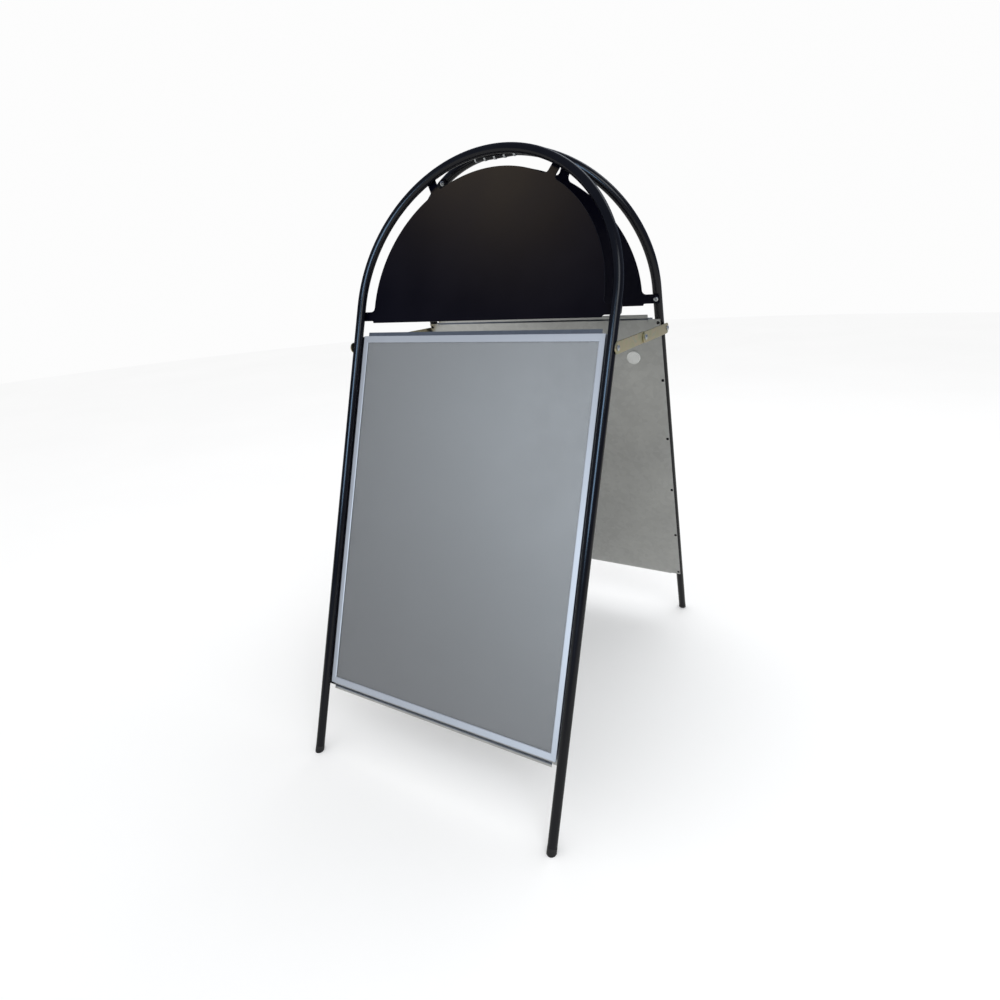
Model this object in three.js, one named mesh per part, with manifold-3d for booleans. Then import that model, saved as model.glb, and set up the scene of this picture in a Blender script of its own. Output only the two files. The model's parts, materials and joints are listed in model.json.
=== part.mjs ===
// Folding sandwich board: two identical arched tube frames joined by a barrel hinge at the top and held
// apart by a two-link stay on each side. Each frame carries a header plate and a pocket for a poster.
// Millimetres, +Z up, origin on the ground midway between the four feet, front frame towards -Y.
//
// Inside a frame: x runs across it, y runs from its tubes towards the other frame, and z runs up along
// its legs from the centre line of the tube at the top of the arch. Left and right are as seen by a
// reader who faces that side of the board.

import * as THREE from 'three';
import { mergeVertices } from 'three/addons/utils/BufferGeometryUtils.js';
import Module from 'manifold-3d';

const wasm = await Module();
wasm.setup();

// ---------------------------------------------------------------- driving dimensions
const POSTER_WIDTH = 500;
const POSTER_HEIGHT = 700;

const LEG_SPACING = 540;
const TUBE_RADIUS = 8.6;
const TUBE_WALL = 1.5;
const LEG_TILT = THREE.MathUtils.degToRad(20.34);
const SLANT_LENGTH = 1198.5;
const APEX_HALF_GAP = 16;
const GAP = 0.3;

// Sides of the polygons that stand for circles.
const TUBE_SIDES = 20;
const BORE_SIDES = 12;
const ROUND_SIDES = 20;
const SMALL_SIDES = 12;
const HOLE_SIDES = 8;

const HINGE_DROP = 8;
const KNUCKLE_RADIUS = 5.6;
const KNUCKLE_LENGTH = 15.9;
const KNUCKLE_PITCH = 20.5;
const KNUCKLE_COUNT = 4;
const PIN_RADIUS = 2.8;
const COLLAR_RADIUS = 6.5;
const PIN_HEAD_LENGTH = 3.5;
const PIN_CHAMFER = 1;
const LEAF_THICKNESS = 2;
const LEAF_TOP = 5;
const LEAF_BOTTOM = -7;
const NECK_HALF_HEIGHT = 4;

const HEADER_RADIUS = 244;
const HEADER_THICKNESS = 2;
const TAB_WIDTH = 18;
const TAB_OVERLAP = 7;
const TAB_FILLET = 8;
const TAB_TOP_ANGLE = THREE.MathUtils.degToRad(90 - 29.6);
const TAB_CORNER = 3;
const LOWER_TAB_TOP = -279;
const LOWER_FILLET = 4;

const SHEET_THICKNESS = 1;
const SHEET_HALF_WIDTH = 274.5;
const SHEET_TOP = -329;
const SHEET_BOTTOM = -1054;
const LIP_HALF_WIDTH = 249.5;
const LIP_OFFSET = 2.5;
const LIP_TOP = -321;
const LIP_BOTTOM = -1059;
const TOP_LIP_FLAT = 7;
const BOTTOM_LIP_FLAT = 4.5;
const LIP_ROOT = 8;

const BORDER_THICKNESS = 1.5;
const BORDER_SIDE_WIDTH = 11;
const BORDER_END_WIDTH = 13;
const BORDER_OVERLAP = 3.5;
const BORDER_BOTTOM = -1046.5;
const BORDER_LEG = 2;
const BORDER_LEG_CLEARANCE = 0.8;
const BORDER_LEG_INSET = 3;
const MITRE_GAP = 0.5;
const POSTER_BOTTOM = -1038;
const CARD_THICKNESS = 1;
const COVER_THICKNESS = 1;
const COVER_EXTRA = 4;

const FOOT_RADIUS = 8.8;
const FOOT_HEIGHT = 12;
const FOOT_STEM = 20;

const SHANK_RADIUS = 1.6;
const SHANK_HOLE_RADIUS = 1.9;
const SCREW_HEAD_RADIUS = 4.5;
const SCREW_HEAD_HEIGHT = 2.4;
const RIVET_HEAD_RADIUS = 3.2;
const RIVET_HEAD_HEIGHT = 1.5;
const SHANK_TIP = 4.6;
const RIVET_INSET = 8;

const PAD_RADIUS = 14;
const PAD_THICKNESS = 3;
const PAD_CHAMFER = 1;
const PAD_PLACE = { x: -213.6, z: -412 };

const STAY_PIVOT = -353;
const STAY_WIDTH = 20;
const STAY_THICKNESS = 2.2;
const STAY_CLEARANCE = 0.6;
const BOLT_RADIUS = 2.5;
const BOLT_HOLE_RADIUS = 2.9;
const BOLT_HEAD_RADIUS = 4.8;
const BOLT_HEAD_HEIGHT = 2.8;
const BOLT_TIP = 6;
const SPACER_RADIUS = 4.5;
const STAY_RIVET_TAIL_RADIUS = 4.5;
const STAY_RIVET_TAIL_HEIGHT = 1.8;

// ---------------------------------------------------------------- dimensions that follow from them
const ARCH_RADIUS = LEG_SPACING / 2;
const APEX_HEIGHT = SLANT_LENGTH * Math.cos(LEG_TILT);
const LEG_END = -(SLANT_LENGTH - FOOT_HEIGHT);
const TUBE_BORE = TUBE_RADIUS - TUBE_WALL;

const HEADER_BOTTOM = LOWER_TAB_TOP - TAB_WIDTH - LOWER_FILLET;

// The hinge axis, measured inside a frame.
const AXIS_Y = APEX_HALF_GAP * Math.cos(LEG_TILT) + HINGE_DROP * Math.sin(LEG_TILT);
const AXIS_Z = APEX_HALF_GAP * Math.sin(LEG_TILT) - HINGE_DROP * Math.cos(LEG_TILT);

// Layers of a frame, each the y of its face nearest the reader.
const PLATE_Y = TUBE_RADIUS + GAP;
const LIP_Y = PLATE_Y - LIP_OFFSET;
const CARD_Y = LIP_Y - GAP - CARD_THICKNESS;
const COVER_Y = CARD_Y - GAP - COVER_THICKNESS;
const BORDER_Y = COVER_Y - GAP - BORDER_THICKNESS;

const FIELD_HALF_WIDTH = POSTER_WIDTH / 2 - BORDER_OVERLAP;
const BORDER_HALF_WIDTH = FIELD_HALF_WIDTH + BORDER_SIDE_WIDTH;
const FIELD_TOP = SHEET_TOP - BORDER_END_WIDTH;
const FIELD_BOTTOM = BORDER_BOTTOM + BORDER_END_WIDTH;

// Straight open stays span the two legs at the height of their pivots.
const STAY_PIVOT_Y = APEX_HALF_GAP - STAY_PIVOT * Math.sin(LEG_TILT);
const STAY_PIVOT_Z = APEX_HEIGHT + STAY_PIVOT * Math.cos(LEG_TILT);
const STAY_FACE = ARCH_RADIUS + TUBE_RADIUS;
const INNER_LINK_X = STAY_FACE + STAY_CLEARANCE;
const OUTER_LINK_X = INNER_LINK_X + STAY_THICKNESS + GAP;

// ---------------------------------------------------------------- materials
const blackSatin = { color: 0x17171a, roughness: 0.35, metalness: 0.2 };
const blackMatte = { color: 0x1c1c20, roughness: 0.6, metalness: 0.1 };
const blackPlastic = { color: 0x1a1a1a, roughness: 0.55, metalness: 0 };
const galvanised = { color: 0xb9b9b2, roughness: 0.45, metalness: 0.8 };
const silver = { color: 0xc9d3dc, roughness: 0.35, metalness: 0.7 };
const cardGrey = { color: 0x8c9298, roughness: 0.9, metalness: 0 };
const clearSheet = { color: 0xe8edf0, roughness: 0.3, metalness: 0, transparent: true, opacity: 0.3 };
const yellowZinc = { color: 0xb5a878, roughness: 0.4, metalness: 0.8 };
const brightZinc = { color: 0xc4c8cc, roughness: 0.3, metalness: 0.9 };
const paleFelt = { color: 0xe6e3dc, roughness: 0.95, metalness: 0 };

// ---------------------------------------------------------------- helpers
function part(name, geometry, finish) {
  const mesh = new THREE.Mesh(geometry, new THREE.MeshStandardMaterial(finish));
  mesh.name = name;
  return mesh;
}

function toSolid(geometry) {
  const bare = geometry.clone();
  bare.deleteAttribute('normal');
  bare.deleteAttribute('uv');
  const merged = mergeVertices(bare, 1e-4);
  return new wasm.Manifold(new wasm.Mesh({
    numProp: 3,
    vertProperties: new Float32Array(merged.attributes.position.array),
    triVerts: new Uint32Array(merged.index.array),
  }));
}

function toGeometry(solid) {
  const mesh = solid.getMesh();
  const geometry = new THREE.BufferGeometry();
  geometry.setAttribute('position', new THREE.BufferAttribute(new Float32Array(mesh.vertProperties), 3));
  geometry.setIndex(new THREE.BufferAttribute(new Uint32Array(mesh.triVerts), 1));
  geometry.computeVertexNormals();
  return geometry;
}

function combine(base, added, removed) {
  let solid = toSolid(base);
  for (const piece of added) {
    solid = solid.add(toSolid(piece));
  }
  for (const piece of removed) {
    solid = solid.subtract(toSolid(piece));
  }
  return toGeometry(solid);
}

// Points along an arc, both ends included. Angles are in radians from +x, and it may run either way.
function arc(cx, cy, radius, from, to, steps) {
  const points = [];
  for (let i = 0; i <= steps; i += 1) {
    const angle = from + (to - from) * i / steps;
    points.push(new THREE.Vector2(cx + radius * Math.cos(angle), cy + radius * Math.sin(angle)));
  }
  return points;
}

function ring(radius, count) {
  return arc(0, 0, radius, 0, 2 * Math.PI * (count - 1) / count, count - 1);
}

function circleHole(x, y, radius) {
  return new THREE.Path(ring(radius, SMALL_SIDES).map((p) => new THREE.Vector2(p.x + x, p.y + y)));
}

// A flat piece in a frame: its outline is in x and z, and it is thick from yNear to yFar.
function slab(shape, yNear, yFar) {
  const geometry = new THREE.ExtrudeGeometry(shape, { depth: yFar - yNear, bevelEnabled: false });
  geometry.rotateX(Math.PI / 2);
  geometry.translate(0, yFar, 0);
  return geometry;
}

function block(x0, x1, y0, y1, z0, z1) {
  const geometry = new THREE.BoxGeometry(x1 - x0, y1 - y0, z1 - z0);
  geometry.translate((x0 + x1) / 2, (y0 + y1) / 2, (z0 + z1) / 2);
  return geometry;
}

// A bar of one section, given in y and z, that runs along x.
function barAlongX(points, x0, x1) {
  const section = new THREE.Shape(points);
  const geometry = new THREE.ExtrudeGeometry(section, { depth: x1 - x0, bevelEnabled: false });
  const toX = new THREE.Matrix4().makeBasis(
    new THREE.Vector3(0, 1, 0), new THREE.Vector3(0, 0, 1), new THREE.Vector3(1, 0, 0));
  geometry.applyMatrix4(toX);
  geometry.translate(x0, 0, 0);
  return geometry;
}

// A turned piece. Its profile is a list of [radius, distance along the axis], starting and ending at
// radius 0, and the axis is +Y.
function turned(profile, sides) {
  return new THREE.LatheGeometry(profile.map(([r, a]) => new THREE.Vector2(r, a)), sides);
}

function rodAlongX(radius, x0, x1, sides) {
  const geometry = turned([[0, x0], [radius, x0], [radius, x1], [0, x1]], sides);
  geometry.rotateZ(-Math.PI / 2);
  return geometry;
}

function rodAlongY(radius, y0, y1, x, z) {
  const geometry = turned([[0, y0], [radius, y0], [radius, y1], [0, y1]], HOLE_SIDES);
  geometry.translate(x, 0, z);
  return geometry;
}

// ---------------------------------------------------------------- where a frame's fasteners go
function headerScrewPlaces() {
  const upper = {
    x: ARCH_RADIUS * Math.cos(TAB_TOP_ANGLE),
    z: -ARCH_RADIUS + ARCH_RADIUS * Math.sin(TAB_TOP_ANGLE),
  };
  const lower = { x: ARCH_RADIUS, z: LOWER_TAB_TOP - TAB_WIDTH / 2 };
  return [
    { name: 'upper_left', x: -upper.x, z: upper.z },
    { name: 'upper_right', x: upper.x, z: upper.z },
    { name: 'lower_left', x: -lower.x, z: lower.z },
    { name: 'lower_right', x: lower.x, z: lower.z },
  ];
}

function cornerRivetPlaces() {
  const top = SHEET_TOP - RIVET_INSET;
  const bottom = SHEET_BOTTOM + RIVET_INSET;
  return [
    { name: 'upper_left', x: -ARCH_RADIUS, z: top },
    { name: 'upper_right', x: ARCH_RADIUS, z: top },
    { name: 'lower_left', x: -ARCH_RADIUS, z: bottom },
    { name: 'lower_right', x: ARCH_RADIUS, z: bottom },
  ];
}

// ---------------------------------------------------------------- tube frame
// Up the left leg, round the arch and down the right leg: one step for each leg, the rest for the arch.
const ARCH_STEPS = 30;

class FramePath extends THREE.Curve {
  place(u) {
    const step = u * (ARCH_STEPS + 2);
    if (step < 1) {
      const z = LEG_END + (-ARCH_RADIUS - LEG_END) * step;
      return { point: new THREE.Vector3(-ARCH_RADIUS, 0, z), tangent: new THREE.Vector3(0, 0, 1) };
    }
    if (step > ARCH_STEPS + 1) {
      const z = -ARCH_RADIUS + (LEG_END + ARCH_RADIUS) * (step - ARCH_STEPS - 1);
      return { point: new THREE.Vector3(ARCH_RADIUS, 0, z), tangent: new THREE.Vector3(0, 0, -1) };
    }
    const angle = Math.PI * (1 - (step - 1) / ARCH_STEPS);
    const x = Math.cos(angle);
    const z = Math.sin(angle);
    return {
      point: new THREE.Vector3(ARCH_RADIUS * x, 0, ARCH_RADIUS * (z - 1)),
      tangent: new THREE.Vector3(z, 0, -x),
    };
  }

  getPoint(u) {
    return this.place(u).point;
  }

  getPointAt(u) {
    return this.place(u).point;
  }

  getTangentAt(u) {
    return this.place(u).tangent;
  }
}

function tubeFrame() {
  const section = new THREE.Shape(ring(TUBE_RADIUS, TUBE_SIDES));
  section.holes.push(new THREE.Path(ring(TUBE_BORE, BORE_SIDES)));
  const steps = ARCH_STEPS + 2;
  const tube = new THREE.ExtrudeGeometry(section, { steps, extrudePath: new FramePath() });
  const holes = [...headerScrewPlaces(), ...cornerRivetPlaces()].map(
    ({ x, z }) => rodAlongY(SHANK_HOLE_RADIUS, TUBE_BORE / 2, TUBE_RADIUS + 1, x, z));
  for (const side of [-1, 1]) {
    const hole = rodAlongX(BOLT_HOLE_RADIUS, ARCH_RADIUS + TUBE_BORE / 2, STAY_FACE + 1, SMALL_SIDES);
    hole.rotateZ(side < 0 ? Math.PI : 0);
    hole.translate(0, 0, STAY_PIVOT);
    holes.push(hole);
  }
  return combine(tube, [], holes);
}

// ---------------------------------------------------------------- feet
// A plastic plug. Its head is cut off on the slant, so that it stands flat on the ground.
function foot(side) {
  const headTop = LEG_END - GAP;
  const lowest = -SLANT_LENGTH - FOOT_HEIGHT;
  const geometry = turned([
    [0, lowest], [FOOT_RADIUS, lowest], [FOOT_RADIUS, headTop],
    [TUBE_BORE - GAP, headTop], [TUBE_BORE - GAP, headTop + FOOT_STEM], [0, headTop + FOOT_STEM],
  ], ROUND_SIDES);
  geometry.rotateX(Math.PI / 2);
  const position = geometry.attributes.position;
  for (let i = 0; i < position.count; i += 1) {
    if (position.getZ(i) < lowest + 1) {
      position.setZ(i, -SLANT_LENGTH + position.getY(i) * Math.tan(LEG_TILT));
    }
  }
  geometry.translate(side * ARCH_RADIUS, 0, 0);
  return geometry;
}

// ---------------------------------------------------------------- header plate
// The rounded end of a tab that points along +x, from its lower side round to its upper side.
function tabEnd(lower, upper) {
  const cornerX = ARCH_RADIUS + TAB_OVERLAP - TAB_CORNER;
  return [
    ...arc(cornerX, lower + TAB_CORNER, TAB_CORNER, -Math.PI / 2, 0, 3),
    ...arc(cornerX, upper - TAB_CORNER, TAB_CORNER, 0, Math.PI / 2, 3),
  ];
}

// Right half of the outline, from the bottom edge round to the top of the arc.
function headerHalfOutline() {
  const centre = new THREE.Vector2(0, -ARCH_RADIUS);
  const filletX = HEADER_RADIUS + TAB_FILLET;
  const outline = [
    ...arc(HEADER_RADIUS + LOWER_FILLET, HEADER_BOTTOM, LOWER_FILLET, Math.PI, Math.PI / 2, 4),
    ...tabEnd(LOWER_TAB_TOP - TAB_WIDTH, LOWER_TAB_TOP),
    ...arc(filletX, LOWER_TAB_TOP + TAB_FILLET, TAB_FILLET, -Math.PI / 2, -Math.PI, 6),
  ];

  // Upper tab, drawn along its own axis: each fillet touches the plate's arc and one side of the tab.
  const half = TAB_WIDTH / 2;
  const spread = Math.asin((half + TAB_FILLET) / filletX);
  const reach = filletX * Math.cos(spread);
  const tab = [
    ...arc(reach, -half - TAB_FILLET, TAB_FILLET, Math.PI - spread, Math.PI / 2, 5),
    ...tabEnd(-half, half),
    ...arc(reach, half + TAB_FILLET, TAB_FILLET, -Math.PI / 2, spread - Math.PI, 5),
  ];
  const origin = new THREE.Vector2();
  const placed = tab.map((p) => p.clone().rotateAround(origin, TAB_TOP_ANGLE).add(centre));

  outline.push(...arc(0, centre.y, HEADER_RADIUS, 0, TAB_TOP_ANGLE - spread, 16).slice(0, -1));
  outline.push(...placed);
  outline.push(...arc(0, centre.y, HEADER_RADIUS, TAB_TOP_ANGLE + spread, Math.PI / 2, 10).slice(1));
  return outline;
}

function headerPlate() {
  const right = headerHalfOutline();
  const left = right.slice(0, -1).reverse().map((p) => new THREE.Vector2(-p.x, p.y));
  const shape = new THREE.Shape([...right, ...left]);
  for (const { x, z } of headerScrewPlaces()) {
    shape.holes.push(circleHole(x, z, SHANK_HOLE_RADIUS));
  }
  return slab(shape, PLATE_Y, PLATE_Y + HEADER_THICKNESS);
}

// ---------------------------------------------------------------- back sheet
// The sheet reaches both tubes. Its top and bottom edges are joggled forward into short lips.
function lip(sheetEdge, lipEdge, flat) {
  const up = Math.sign(lipEdge - sheetEdge);
  const back = PLATE_Y + SHEET_THICKNESS;
  const root = sheetEdge - up * LIP_ROOT;
  const bend = lipEdge - up * flat;
  const frontBend = bend - up * SHEET_THICKNESS / 2;
  return barAlongX([
    new THREE.Vector2(back, root),
    new THREE.Vector2(back, bend - up * LIP_OFFSET),
    new THREE.Vector2(back - LIP_OFFSET, bend),
    new THREE.Vector2(back - LIP_OFFSET, lipEdge),
    new THREE.Vector2(LIP_Y, lipEdge),
    new THREE.Vector2(LIP_Y, frontBend),
    new THREE.Vector2(PLATE_Y, frontBend - up * LIP_OFFSET),
    new THREE.Vector2(PLATE_Y, root),
  ], -LIP_HALF_WIDTH, LIP_HALF_WIDTH);
}

function backSheet() {
  const back = PLATE_Y + SHEET_THICKNESS;
  const sheet = block(-SHEET_HALF_WIDTH, SHEET_HALF_WIDTH, PLATE_Y, back, SHEET_BOTTOM, SHEET_TOP);
  const holes = cornerRivetPlaces().map(
    ({ x, z }) => rodAlongY(SHANK_HOLE_RADIUS, PLATE_Y - 1, back + 1, x, z));
  const lips = [
    lip(SHEET_TOP, LIP_TOP, TOP_LIP_FLAT),
    lip(SHEET_BOTTOM, LIP_BOTTOM, BOTTOM_LIP_FLAT),
  ];
  return combine(sheet, lips, holes);
}

// ---------------------------------------------------------------- border profiles
// Four profiles with mitred corners. The side and bottom ones have a leg that reaches the back sheet
// and keeps the poster in place; the top one has none, because the poster drops in behind it.
function borderFace(corners) {
  const shape = new THREE.Shape(corners.map(([x, z]) => new THREE.Vector2(x, z)));
  return slab(shape, BORDER_Y, BORDER_Y + BORDER_THICKNESS);
}

function borderLeg(x0, x1, z0, z1) {
  return block(x0, x1, BORDER_Y + BORDER_THICKNESS / 2, PLATE_Y - GAP, z0, z1);
}

function borderTop() {
  return borderFace([
    [-BORDER_HALF_WIDTH, SHEET_TOP], [-FIELD_HALF_WIDTH, FIELD_TOP],
    [FIELD_HALF_WIDTH, FIELD_TOP], [BORDER_HALF_WIDTH, SHEET_TOP],
  ]);
}

function borderBottom() {
  const face = borderFace([
    [-BORDER_HALF_WIDTH, BORDER_BOTTOM], [BORDER_HALF_WIDTH, BORDER_BOTTOM],
    [FIELD_HALF_WIDTH, FIELD_BOTTOM], [-FIELD_HALF_WIDTH, FIELD_BOTTOM],
  ]);
  const top = POSTER_BOTTOM - GAP;
  const legHalfWidth = POSTER_WIDTH / 2 - BORDER_LEG_CLEARANCE;
  const leg = borderLeg(-legHalfWidth, legHalfWidth, top - BORDER_LEG, top);
  return combine(face, [leg], []);
}

function borderSide(side) {
  const face = borderFace([
    [FIELD_HALF_WIDTH, FIELD_BOTTOM + MITRE_GAP], [BORDER_HALF_WIDTH, BORDER_BOTTOM + MITRE_GAP],
    [BORDER_HALF_WIDTH, SHEET_TOP - MITRE_GAP], [FIELD_HALF_WIDTH, FIELD_TOP - MITRE_GAP],
  ]);
  const legX = POSTER_WIDTH / 2 + BORDER_LEG_CLEARANCE;
  const legBottom = FIELD_BOTTOM + BORDER_LEG_INSET;
  const leg = borderLeg(legX, legX + BORDER_LEG, legBottom, FIELD_TOP - BORDER_LEG_INSET);
  const geometry = combine(face, [leg], []);
  return side > 0 ? geometry : mirrored(geometry);
}

// The same piece on the other side of x = 0, with its faces turned back to point out.
function mirrored(geometry) {
  const copy = geometry.clone();
  copy.scale(-1, 1, 1);
  const index = copy.index.array;
  for (let i = 0; i < index.length; i += 3) {
    [index[i], index[i + 1]] = [index[i + 1], index[i]];
  }
  copy.computeVertexNormals();
  return copy;
}

// ---------------------------------------------------------------- poster card and cover
function posterCard() {
  return block(-POSTER_WIDTH / 2, POSTER_WIDTH / 2, CARD_Y, CARD_Y + CARD_THICKNESS,
    POSTER_BOTTOM, POSTER_BOTTOM + POSTER_HEIGHT);
}

function clearCover() {
  return block(-POSTER_WIDTH / 2, POSTER_WIDTH / 2, COVER_Y, COVER_Y + COVER_THICKNESS,
    POSTER_BOTTOM, POSTER_BOTTOM + POSTER_HEIGHT + COVER_EXTRA);
}

// ---------------------------------------------------------------- fasteners of a frame
// A headed fastener that enters a tube from the inner side, its head resting on a plate.
function headedFastener({ x, z }, plateFace, headRadius, headHeight) {
  const seat = plateFace + GAP;
  const top = seat + headHeight;
  const geometry = turned([
    [0, SHANK_TIP], [SHANK_RADIUS, SHANK_TIP], [SHANK_RADIUS, seat], [headRadius, seat],
    [headRadius * 0.95, (seat + top) / 2], [headRadius * 0.62, top], [0, top],
  ], SMALL_SIDES);
  geometry.translate(x, 0, z);
  return geometry;
}

function pad() {
  const y = PLATE_Y + SHEET_THICKNESS + GAP;
  const geometry = turned([
    [0, y], [PAD_RADIUS, y], [PAD_RADIUS, y + PAD_THICKNESS - PAD_CHAMFER],
    [PAD_RADIUS - PAD_CHAMFER, y + PAD_THICKNESS], [0, y + PAD_THICKNESS],
  ], ROUND_SIDES);
  geometry.translate(PAD_PLACE.x, 0, PAD_PLACE.z);
  return geometry;
}

// ---------------------------------------------------------------- hinge
// Both leaves are the same piece. It has every second knuckle, and the leaf of the turned frame fills
// the places between.
function knuckleCentres() {
  const first = -KNUCKLE_PITCH * (KNUCKLE_COUNT - 1) / 2;
  return Array.from({ length: KNUCKLE_COUNT }, (_, i) => first + i * KNUCKLE_PITCH);
}

function hingeLeaf() {
  const halfLength = knuckleCentres()[KNUCKLE_COUNT - 1] + KNUCKLE_LENGTH / 2;
  const leafBack = PLATE_Y + LEAF_THICKNESS;
  const backing = block(-halfLength, halfLength, PLATE_Y, leafBack, LEAF_BOTTOM, LEAF_TOP);
  const added = [];
  for (const x of knuckleCentres().filter((_, i) => i % 2 === 0)) {
    const x0 = x - KNUCKLE_LENGTH / 2;
    const x1 = x + KNUCKLE_LENGTH / 2;
    const barrel = rodAlongX(KNUCKLE_RADIUS, x0, x1, ROUND_SIDES);
    barrel.translate(0, AXIS_Y, AXIS_Z);
    added.push(barrel);
    added.push(block(x0, x1, leafBack - LEAF_THICKNESS / 2, AXIS_Y,
      AXIS_Z - NECK_HALF_HEIGHT, AXIS_Z + NECK_HALF_HEIGHT));
  }
  const bore = rodAlongX(PIN_RADIUS + GAP, -halfLength - 1, halfLength + 1, SMALL_SIDES);
  bore.translate(0, AXIS_Y, AXIS_Z);
  return combine(backing, added, [bore]);
}

function hingePin() {
  const halfLength = knuckleCentres()[KNUCKLE_COUNT - 1] + KNUCKLE_LENGTH / 2 + GAP;
  const end = halfLength + PIN_HEAD_LENGTH;
  const head = [
    [PIN_RADIUS, halfLength], [COLLAR_RADIUS, halfLength], [COLLAR_RADIUS, end - PIN_CHAMFER],
    [COLLAR_RADIUS - PIN_CHAMFER, end], [0, end],
  ];
  const otherHead = head.map(([r, a]) => [r, -a]).reverse();
  const geometry = turned([...otherHead, ...head], ROUND_SIDES);
  geometry.rotateZ(-Math.PI / 2);
  return geometry;
}

function hingeWasher(x) {
  const half = (KNUCKLE_PITCH - KNUCKLE_LENGTH) / 2 - GAP;
  const bore = PIN_RADIUS + GAP;
  const geometry = turned([
    [bore, -half], [COLLAR_RADIUS, -half], [COLLAR_RADIUS, half], [bore, half], [bore, -half],
  ], ROUND_SIDES);
  geometry.rotateZ(-Math.PI / 2);
  geometry.translate(x, 0, 0);
  return geometry;
}

// ---------------------------------------------------------------- stays
// A strap with round ends. It runs from the pivot on a leg at pivotY to the middle joint at y = 0.
function stayLink(pivotY, x0) {
  const shape = new THREE.Shape([
    ...arc(STAY_PIVOT_Y, 0, STAY_WIDTH / 2, -Math.PI / 2, Math.PI / 2, 12),
    ...arc(0, 0, STAY_WIDTH / 2, Math.PI / 2, 3 * Math.PI / 2, 12),
  ]);
  shape.holes.push(circleHole(STAY_PIVOT_Y, 0, BOLT_HOLE_RADIUS));
  shape.holes.push(circleHole(0, 0, BOLT_HOLE_RADIUS));
  const geometry = new THREE.ExtrudeGeometry(shape, { depth: STAY_THICKNESS, bevelEnabled: false });
  const side = Math.sign(pivotY);
  const place = new THREE.Matrix4().makeBasis(
    new THREE.Vector3(0, side, 0), new THREE.Vector3(0, 0, 1), new THREE.Vector3(side, 0, 0));
  place.setPosition(side > 0 ? x0 : x0 + STAY_THICKNESS, 0, STAY_PIVOT_Z);
  geometry.applyMatrix4(place);
  return geometry;
}

// A domed bolt through a link into the leg. Distances are from the side of the tube, and the bolt of an
// outer link has a spacer in the place of the inner one.
function stayBolt(linkX, side) {
  const seat = linkX + STAY_THICKNESS + GAP - STAY_FACE;
  const inner = linkX - STAY_FACE - GAP;
  const spacer = inner > STAY_CLEARANCE
    ? [[BOLT_RADIUS, GAP], [SPACER_RADIUS, GAP], [SPACER_RADIUS, inner], [BOLT_RADIUS, inner]]
    : [];
  const geometry = turned([
    [0, -BOLT_TIP], [BOLT_RADIUS, -BOLT_TIP], ...spacer, [BOLT_RADIUS, seat],
    ...domedHead(seat), [0, seat + BOLT_HEAD_HEIGHT],
  ], ROUND_SIDES);
  return facingOut(geometry, side);
}

function domedHead(seat) {
  return [
    [BOLT_HEAD_RADIUS, seat], [BOLT_HEAD_RADIUS, seat + BOLT_HEAD_HEIGHT * 0.35],
    [BOLT_HEAD_RADIUS * 0.82, seat + BOLT_HEAD_HEIGHT * 0.8],
    [BOLT_HEAD_RADIUS * 0.45, seat + BOLT_HEAD_HEIGHT],
  ];
}

function facingOut(geometry, side) {
  geometry.rotateZ(-Math.PI / 2);
  geometry.translate(STAY_FACE, 0, 0);
  geometry.rotateZ(side < 0 ? Math.PI : 0);
  return geometry;
}

// The middle rivet is in two parts, one on each link, because the stay's loop is opened there.
function stayRivetHead(side) {
  const start = OUTER_LINK_X - STAY_FACE;
  const seat = start + STAY_THICKNESS + GAP;
  const geometry = turned([
    [0, start], [BOLT_RADIUS, start], [BOLT_RADIUS, seat],
    ...domedHead(seat), [0, seat + BOLT_HEAD_HEIGHT],
  ], ROUND_SIDES);
  return facingOut(geometry, side);
}

function stayRivetTail(side) {
  const start = INNER_LINK_X - STAY_FACE;
  const seat = start - GAP;
  const bottom = seat - STAY_RIVET_TAIL_HEIGHT;
  const end = start + STAY_THICKNESS;
  const geometry = turned([
    [0, bottom], [STAY_RIVET_TAIL_RADIUS * 0.7, bottom], [STAY_RIVET_TAIL_RADIUS, (bottom + seat) / 2],
    [STAY_RIVET_TAIL_RADIUS, seat], [BOLT_RADIUS, seat], [BOLT_RADIUS, end], [0, end],
  ], ROUND_SIDES);
  return facingOut(geometry, side);
}

// ---------------------------------------------------------------- assembly
function frame(prefix) {
  const group = new THREE.Group();
  group.add(part(`${prefix}_tube_frame`, tubeFrame(), blackSatin));
  group.add(part(`${prefix}_foot_left`, foot(-1), blackPlastic));
  group.add(part(`${prefix}_foot_right`, foot(1), blackPlastic));
  group.add(part(`${prefix}_header_plate`, headerPlate(), blackMatte));
  group.add(part(`${prefix}_back_sheet`, backSheet(), galvanised));
  group.add(part(`${prefix}_border_top`, borderTop(), silver));
  group.add(part(`${prefix}_border_bottom`, borderBottom(), silver));
  group.add(part(`${prefix}_border_left`, borderSide(-1), silver));
  group.add(part(`${prefix}_border_right`, borderSide(1), silver));
  group.add(part(`${prefix}_poster_card`, posterCard(), cardGrey));
  group.add(part(`${prefix}_clear_cover`, clearCover(), clearSheet));
  group.add(part(`${prefix}_hinge_leaf`, hingeLeaf(), blackSatin));
  for (const place of headerScrewPlaces()) {
    const face = PLATE_Y + HEADER_THICKNESS;
    const screw = headedFastener(place, face, SCREW_HEAD_RADIUS, SCREW_HEAD_HEIGHT);
    group.add(part(`${prefix}_header_screw_${place.name}`, screw, brightZinc));
  }
  for (const place of cornerRivetPlaces()) {
    const face = PLATE_Y + SHEET_THICKNESS;
    const rivet = headedFastener(place, face, RIVET_HEAD_RADIUS, RIVET_HEAD_HEIGHT);
    group.add(part(`${prefix}_sheet_rivet_${place.name}`, rivet, blackSatin));
  }
  group.rotation.x = -LEG_TILT;
  group.position.set(0, -APEX_HALF_GAP, APEX_HEIGHT);
  return group;
}

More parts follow.
